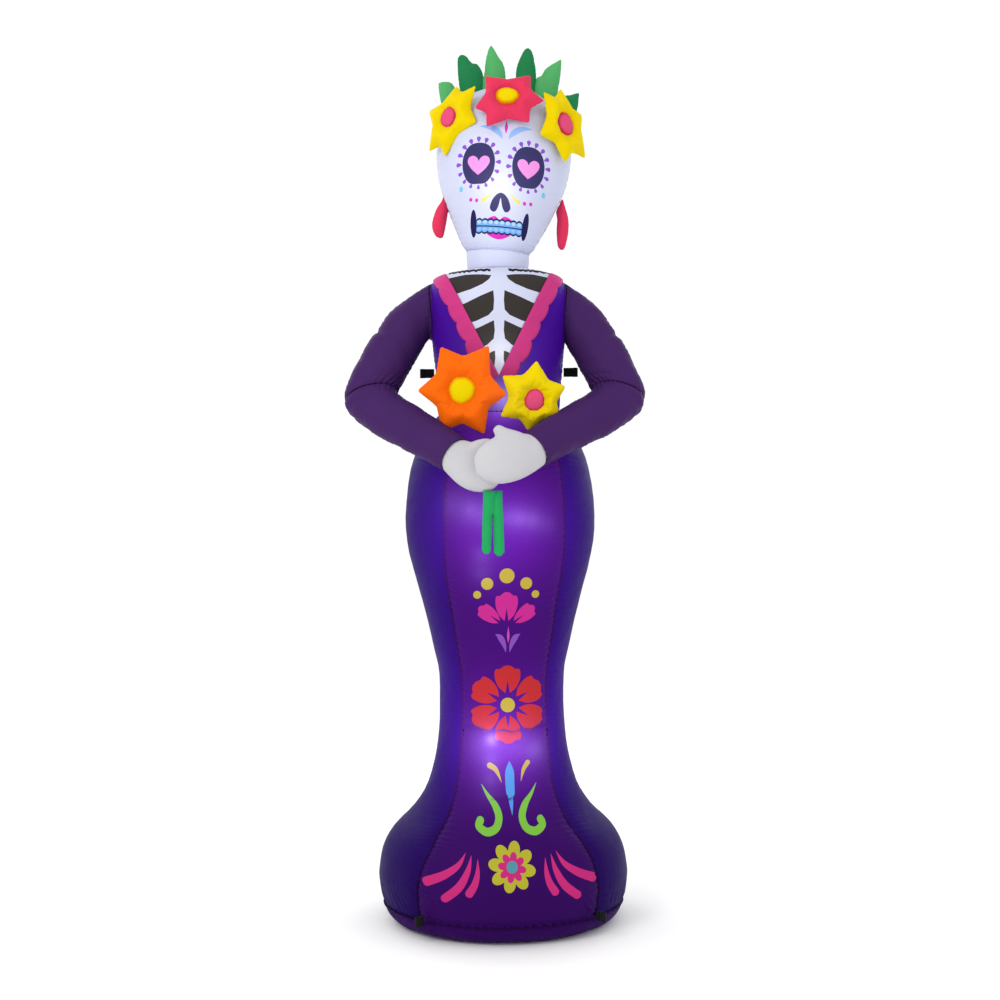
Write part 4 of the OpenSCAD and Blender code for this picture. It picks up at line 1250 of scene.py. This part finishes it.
def blow_up(shells):
    """Inflates every shell in one cloth simulation and returns their points."""
    points, faces, held, starts, x = [], [], [], [], 0.0
    for shell, shell_faces, shell_held in shells:
        starts.append((sum(len(p) for p in points), x - shell[:, 0].min()))
        faces += [[i + starts[-1][0] for i in f] for f in shell_faces]
        points.append(shell + [starts[-1][1], 0, 0])
        held.append(shell_held)
        x = points[-1][:, 0].max() + 40
    points, held = np.concatenate(points), np.concatenate(held)
    obj = add_mesh("blow_up", points * SIM_SCALE / MM, faces)
    group = obj.vertex_groups.new(name="held")
    group.add(np.nonzero(held)[0].tolist(), 1.0, "REPLACE")
    sim = obj.modifiers.new("Cloth", "CLOTH")
    for key, value in SIM_SETTINGS.items():
        setattr(sim.settings, key, value)
    sim.settings.effector_weights.gravity = 0
    sim.collision_settings.use_collision = False
    sim.collision_settings.use_self_collision = False
    sim.point_cache.frame_start, sim.point_cache.frame_end = 1, SIM_FRAMES
    for f in range(1, SIM_FRAMES + 1):
        scene.frame_set(f)
    solved = obj.evaluated_get(bpy.context.evaluated_depsgraph_get()).data
    out = np.empty(len(points) * 3, np.float32)
    solved.vertices.foreach_get("co", out)
    out = out.reshape(-1, 3).astype(float) / SIM_SCALE
    bpy.data.objects.remove(obj)
    scene.frame_set(1)
    return [out[at : at + len(shell)] - [shift, 0, 0]
            for (at, shift), (shell, _, _) in zip(starts, shells)]


VALLEY, TIP_CUT, VALLEY_CUT = 0.395, 8.0, 6.0


def star(tips):
    """Six petals from the angle and reach of each tip, with valleys drawn in between them."""
    corners = []
    for (t, reach), (u, other) in zip(tips, tips[1:] + tips[:1]):
        gap = math.radians(((u - t) % 360) / 2)
        t = math.radians(t)
        corners += [(t, reach), (t + gap, VALLEY * math.cos(gap) * (reach + other))]
    corners = [np.array([r * math.sin(t), r * math.cos(t)]) for t, r in corners]
    rounded = []
    for k, p in enumerate(corners):
        back, on = unit(corners[k - 1] - p), unit(corners[(k + 1) % len(corners)] - p)
        cut = TIP_CUT if k % 2 == 0 else VALLEY_CUT
        rounded += [p + back * cut, p + (back + on) * cut * 0.3, p + on * cut]
    return dense(rounded, 4)


LEAF_Y, LEAF_T = -14, 35
LEAVES = {
    "leaf_1": ("light", [(-163, 2318), (-157, 2331), (-126, 2330), (-108, 2300), (-100, 2262),
        (-112, 2238), (-140, 2236), (-156, 2268)]),
    "leaf_2": ("dark", [(-109, 2388), (-104, 2403), (-95, 2408), (-82, 2403), (-67, 2387),
        (-52, 2381), (-38, 2358), (-33, 2318), (-40, 2284), (-54, 2258), (-86, 2260), (-101, 2296),
        (-108, 2342)]),
    "leaf_3": ("light", [(-14, 2432), (-23, 2418), (-31, 2389), (-36, 2356), (-43, 2330),
        (-40, 2290), (-8, 2276), (22, 2290), (27, 2326), (26, 2360), (20, 2382), (8, 2402),
        (-5, 2424)]),
    "leaf_4": ("dark", [(87, 2425), (76, 2417), (65, 2397), (56, 2372), (52, 2345), (52, 2300),
        (80, 2276), (108, 2296), (112, 2325), (112, 2362), (108, 2386), (104, 2406), (96, 2421)]),
    "leaf_5": ("light", [(182, 2389), (169, 2387), (151, 2377), (136, 2366), (125, 2350),
        (110, 2338), (104, 2300), (118, 2270), (150, 2262), (168, 2282), (176, 2316),
        (181, 2350)]),
    "leaf_6": ("dark", [(180, 2285), (208, 2294), (230, 2298), (231, 2284), (228, 2256),
        (218, 2226), (190, 2214), (174, 2240)]),
}
FLOWERS = {
    "crown_flower_left": ((-126, -118, 2206), -38, -4, "yellow_cloth", [(11, 90), (48, 116),
        (105, 98), (187, 108), (222, 112), (292, 86)]),
    "crown_flower_middle": ((29, -176, 2246), 0, -22, "red_cloth", [(41, 99), (96, 102),
        (145, 102), (211, 110), (250, 96), (320, 94)]),
    "crown_flower_right": ((180, -124, 2184), 46, -4, "yellow_cloth", [(0, 102), (64, 92),
        (133, 119), (182, 108), (246, 106), (318, 108)]),
    "bouquet_flower_large": ((-98, -226, 1457), -4, 4, "orange_cloth", [(32, 140), (96, 122),
        (154, 134), (207, 126), (270, 122), (334, 131)]),
    "bouquet_flower_small": ((93, -216, 1430), 6, 6, "yellow_cloth", [(4, 107), (67, 95),
        (124, 87), (189, 88), (244, 103), (307, 109)]),
}
DOMES = {
    "crown_flower_left": ("crown_centre_left", 28, 31, 12, PINK, "pink_cloth"),
    "crown_flower_middle": ("crown_centre_middle", 35, 26, 12, YELLOW, "yellow_cloth"),
    "crown_flower_right": ("crown_centre_right", 33, 34, 12, PINK, "pink_cloth"),
    "bouquet_flower_large": ("bouquet_centre_large", 37, 42, 14, YELLOW, "yellow_cloth"),
    "bouquet_flower_small": ("bouquet_centre_small", 29, 33, 12, PINK, "pink_cloth"),
}
FLOWER_FRONT, FLOWER_BACK, EARRING_T = 26, 10, 30
EARRINGS = {
    "earring_left": ((-160, 0, 2004), [(10, 13), (2, -2), (-14, -27), (-25, -68), (-16, -99),
        (2, -107), (12, -92), (22, -41), (25, -20), (17, 3)]),
    "earring_right": ((187, 0, 1996), [(-5, 9), (2, -8), (12, -46), (12, -83), (3, -124),
        (-7, -135), (-20, -124), (-24, -83), (-22, -49), (-24, -26), (-14, -4)]),
}
STEMS = {"stem_left": (-31, -37, 28, 168, 0.5), "stem_right": (-9, -3, 32, 174, 0.25)}
STEM_Y, STEM_TOP, STEM_T = -292, 1190, 22

shells = {}
for name, (_, outline) in LEAVES.items():
    shells[name] = pillow_shell(curve(outline, 5, closed=True))
for name, flower in FLOWERS.items():
    shells[name] = pillow_shell(star(flower[-1]), DOMES[name][1] - 3)
for name, (_, outline) in EARRINGS.items():
    shells[name] = pillow_shell(curve(outline, 4, closed=True))
for name, (_, _, w, length, joined) in STEMS.items():
    foot = [(1.0, -0.7), (0.92, -0.94), (0.35, -1.0)]
    half = [(1.0, 0), (1.0, -0.3)] + foot
    grown = [(1.0 + joined, 0), (1.0 + joined, -0.33), (1.0, -0.42)] + foot
    outer, inner = np.array(half) * [w / 2, length], np.array(grown) * [w / 2, length]
    facing_in = 1 if name == "stem_left" else -1
    shells[name] = pillow_shell(
        np.concatenate([inner * [facing_in, 1], outer[::-1] * [-facing_in, 1]]))
blown = dict(zip(shells, blow_up(list(shells.values()))))


def fitted(name, front, back):
    """A pillow with its outline as cut, and the blown-up depth and some of the blown-up drift."""
    was, now = shells[name][0], blown[name].copy()
    for k in (0, 2):
        scale = np.ptp(was[:, k]) / np.ptp(now[:, k])
        now[:, k] = was[:, k].min() + (now[:, k] - now[:, k].min()) * scale
        now[:, k] = 0.85 * was[:, k] + 0.15 * now[:, k]
    now[:, 1] *= np.where(now[:, 1] < 0, front / -now[:, 1].min(), back / now[:, 1].max())
    return now


def pillow_object(name, points, matrix):
    flat, faces = shells[name][0][:, [0, 2]], shells[name][1]
    return soften(add_mesh(name + "_pillow", moved(points, matrix), faces, flat))


def facing(place, turn, tilt, roll):
    """The matrix that turns a piece made in the XZ plane, facing -Y, to its place."""
    matrix = Matrix.Translation(place)
    for angle, axis in ((turn, "Z"), (tilt, "X"), (roll, "Y")):
        matrix = matrix @ Matrix.Rotation(math.radians(angle), 4, axis)
    return matrix


for name, (shade, _) in LEAVES.items():
    place = Matrix.Translation((0, LEAF_Y, 0))
    obj = pillow_object(name, fitted(name, LEAF_T / 2, LEAF_T / 2), place)
    finish_piece(obj, shade + "_leaf_cloth", name)


BUTTON_RINGS, BUTTON_SIDES = 18, 72


def button(name, matrix, base_y, r, tall, h, seed, tint, rim_tint):
    """A round middle, sewn on through puckers in its darker rim."""
    rho = np.linspace(0, 1, BUTTON_RINGS) ** 0.8
    a, b = np.meshgrid(rho, full_turn(BUTTON_SIDES + 1)[:-1], indexing="ij")
    uneven = 1 + 0.05 * np.sin(2 * b + seed) + 0.03 * np.sin(3 * b + 2 * seed)
    uneven += 0.015 * np.sin(7 * b + seed)
    puckers = creases(b * r, 11, seed)
    rim = r * uneven * (1 + 0.02 * puckers)
    height = h * (1 - a**3) ** 0.7 + 1.4 * puckers * a**4
    points = np.stack([rim * a * np.sin(b), base_y - height, rim * a * np.cos(b) * tall / r], 2)
    flat = points[..., [0, 2]].reshape(-1, 2)
    faces = [f[::-1] for f in grid_faces(BUTTON_RINGS, BUTTON_SIDES, closed=True)]
    middles = np.repeat((rho[1:] + rho[:-1]) / 2, BUTTON_SIDES)
    share = np.clip((middles - 0.68) / 0.22, 0, 1)[:, None]
    tints = np.array(hexed(tint)) * (1 - share) + np.array(hexed(rim_tint)) * share
    obj = add_mesh(name + "_pillow", moved(points, matrix), faces, flat, tints)
    return thicken(welded(obj))


RIMS = {"pink_cloth": "cc2c3c", "yellow_cloth": "e09000"}
BUTTON_CLOTHS = {slot: cloth(slot.replace("_cloth", "_button_cloth")) for slot in RIMS}
for k, (name, (place, turn, tilt, slot, _)) in enumerate(FLOWERS.items()):
    matrix = facing(place, turn, tilt, 0)
    puffed = fitted(name, FLOWER_FRONT, FLOWER_BACK)
    obj = pillow_object(name, puffed, matrix)
    finish_piece(obj, slot, name)
    node, dome_r, dome_tall, dome_h, tint, dome_slot = DOMES[name]
    hub_y = puffed[shells[name][2] & (puffed[:, 1] < 0), 1].mean()
    obj = button(node, matrix, hub_y + 1.5, dome_r, dome_tall, dome_h, 1.7 * k, tint,
                 RIMS[dome_slot])
    finish_piece(obj, dome_slot, node, material=BUTTON_CLOTHS[dome_slot])

for name, (top, _) in EARRINGS.items():
    obj = pillow_object(name, fitted(name, EARRING_T / 2, EARRING_T / 2), Matrix.Translation(top))
    finish_piece(obj, "red_cloth", name, body=name)
for name, (x_top, x_foot, w, length, joined) in STEMS.items():
    lean = math.degrees(math.atan2(x_top - x_foot, length))
    place = (x_top, STEM_Y - 6 * (joined > 0.3), STEM_TOP)
    obj = pillow_object(name, fitted(name, STEM_T / 2, STEM_T / 2), facing(place, 0, 0, lean))
    finish_piece(obj, "stem_cloth", name, body="stems")

# ---- mitts ----


MITT_SIDES, MITT_STEPS, MITT_VOXEL = 48, 6, 3.2


def mitt_rings(stations, first=()):
    """Rings across a path of (centre, half-width, half-thickness)."""
    centres = [np.array(c, float) for c, _, _ in stations]
    last = len(centres) - 1
    return np.array([*first] + [
        ellipse_ring(c, centres[min(i + 1, last)] - centres[max(i - 1, 0)], (0, -1, 0), a, b,
                     MITT_SIDES) for i, (c, a, b) in enumerate(stations)])


def mitt(name, side, path, thumb):
    """A hand and its thumb, joined by a remesh and relaxed."""
    cuff = np.array(CUFFS[side], float)
    run = unit(cuff - [side * ELBOWS[side], -80, 1450.0])
    wrist = ellipse_ring(cuff - run * 6, run, (0, -1, 0), 47, 43, MITT_SIDES)
    points, faces, n = [], [], MITT_SIDES
    for rings in (mitt_rings(path, [wrist]), mitt_rings(thumb)):
        smooth = curve(rings, MITT_STEPS)
        rows, start = len(smooth), len(points)
        ends = [smooth[0].mean(0).tolist(), smooth[-1].mean(0).tolist()]
        points += smooth.reshape(-1, 3).tolist() + ends
        faces += grid_faces(rows, n, closed=True, start=start)
        last, end = start + (rows - 1) * n, start + rows * n
        faces += [[start + (k + 1) % n, start + k, end] for k in range(n)]
        faces += [[last + k, last + (k + 1) % n, end + 1] for k in range(n)]
    obj = add_mesh(name + "_mitt", points, faces)
    work = bmesh.new()
    work.from_mesh(obj.data)
    bmesh.ops.recalc_face_normals(work, faces=work.faces)
    work.to_mesh(obj.data)
    work.free()
    remesh = obj.modifiers.new("Remesh", "REMESH")
    remesh.mode = "VOXEL"
    remesh.voxel_size = MITT_VOXEL * MM
    relax = obj.modifiers.new("Relax", "SMOOTH")
    relax.iterations = 14
    solved = obj.evaluated_get(bpy.context.evaluated_depsgraph_get())
    mesh = bpy.data.meshes.new_from_object(solved)
    bpy.data.objects.remove(obj)
    co = np.empty(len(mesh.vertices) * 3, np.float32)
    mesh.vertices.foreach_get("co", co)
    co = co.reshape(-1, 3) / MM
    faces = [list(p.vertices) for p in mesh.polygons]
    bpy.data.meshes.remove(mesh)
    obj = soften(add_mesh(name + "_mitt", co, faces, co[:, [0, 2]]))
    finish_piece(obj, "glove_cloth", name)


mitt("hand_left", -1, [
    ((-90, -280, 1262), 58, 36), ((-56, -282, 1247), 62, 33), ((-22, -282, 1240), 54, 28),
    ((0, -281, 1241), 30, 16)],
    [((-70, -289, 1290), 26, 20), ((-46, -292, 1303), 22, 17), ((-26, -293, 1308), 17, 14),
     ((-13, -293, 1303), 9, 9)])
mitt("hand_right", 1, [
    ((64, -310, 1284), 56, 38), ((30, -336, 1274), 62, 34), ((-8, -349, 1264), 60, 32),
    ((-42, -351, 1257), 46, 28), ((-64, -351, 1254), 22, 14)],
    [((60, -318, 1306), 30, 24), ((34, -336, 1320), 26, 20), ((10, -344, 1334), 19, 16),
     ((-5, -348, 1347), 14, 12), ((-11, -349, 1353), 8, 8)])

# ---- materials of the CAD pieces that stay ----

for material, nodes in (
    (webbing("webbing", "08080a"), ("tether_loops", "stake_loops", "knee_strap", "zip_tape")),
    (moulded("blower_plastic", "0d0d0f"),
     ("inlet_grille", "blower_housing", "motor_bracket", "cable_gland")),
    (moulded("fan_plastic", "bcbec4", 0.38), ("impeller",)),
    (metal("motor_steel", "6a6a6c", 0.45), ("blower_motor",)),
    (metal("screw_steel", "c4c4c6"), ("blower_screws",)),
    (metal("zip_metal", "c0c0c4", 0.28), ("zip_slider", "zip_pull")),
    (moulded("cable_plastic", "e6e6e4", 0.42), ("lamp_cable", "lamp_bases")),
    (lens("lens_plastic"), ("lamp_lenses",)),
):
    for node in nodes:
        set_material(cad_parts[node], material)

# ---- camera, lights and floor ----

CAMERA_AWAY, CAMERA_HEIGHT, FOCAL_PX = 4.5, 1.164, 1608
SENSOR_MM, PICTURE_PX, ROLL_DEG, FLOOR_HALF = 36, 1000, 0.5, 40000


def studio():
    data = bpy.data.cameras.new("camera")
    data.sensor_width = SENSOR_MM
    data.lens = FOCAL_PX * SENSOR_MM / PICTURE_PX
    data.clip_end = 60
    camera = bpy.data.objects.new("camera", data)
    camera.matrix_world = (Matrix.Translation((0, -CAMERA_AWAY, CAMERA_HEIGHT))
                           @ Matrix.Rotation(math.pi / 2, 4, "X")
                           @ Matrix.Rotation(math.radians(-ROLL_DEG), 4, "Z"))
    scene.collection.objects.link(camera)
    scene.camera = camera
    for name, place, size, power, colour in (
        ("key", (-2.4, -3.6, 3.4), 1.8, 62, "fffcf8"),
        ("fill", (3.2, -3.4, 1.8), 3.0, 9, "f6f8ff"),
        ("back_left", (-2.8, 3.4, 3.2), 2.6, 34, "ffffff"),
        ("back_right", (2.8, 3.6, 2.6), 2.6, 28, "ffffff"),
    ):
        light = bpy.data.lights.new(name, "AREA")
        light.size = size
        light.energy = power
        light.color = hexed(colour)[:3]
        lamp = bpy.data.objects.new(name, light)
        lamp.location = place
        aim = Vector((0, 0, 1.1)) - lamp.location
        lamp.rotation_euler = aim.to_track_quat("-Z", "Y").to_euler()
        scene.collection.objects.link(lamp)
    world = bpy.data.worlds.new("studio")
    world.use_nodes = True
    background = world.node_tree.nodes["Background"]
    background.inputs["Color"].default_value = hexed("ffffff")
    background.inputs["Strength"].default_value = 1.03
    scene.world = world
    scene.view_settings.view_transform = "Standard"
    h = FLOOR_HALF
    corners = [(-h, -h, 0), (h, -h, 0), (h, h, 0), (-h, h, 0)]
    floor = add_mesh("floor", corners, [[0, 1, 2, 3]])
    n = Nodes("floor")
    n.set("Base Color", n.mix(n.noise(3.0, 4.0), hexed("ffffff"), hexed("fcfcfc")))
    n.set("Roughness", 0.8)
    floor.data.materials.append(n.material)


studio()
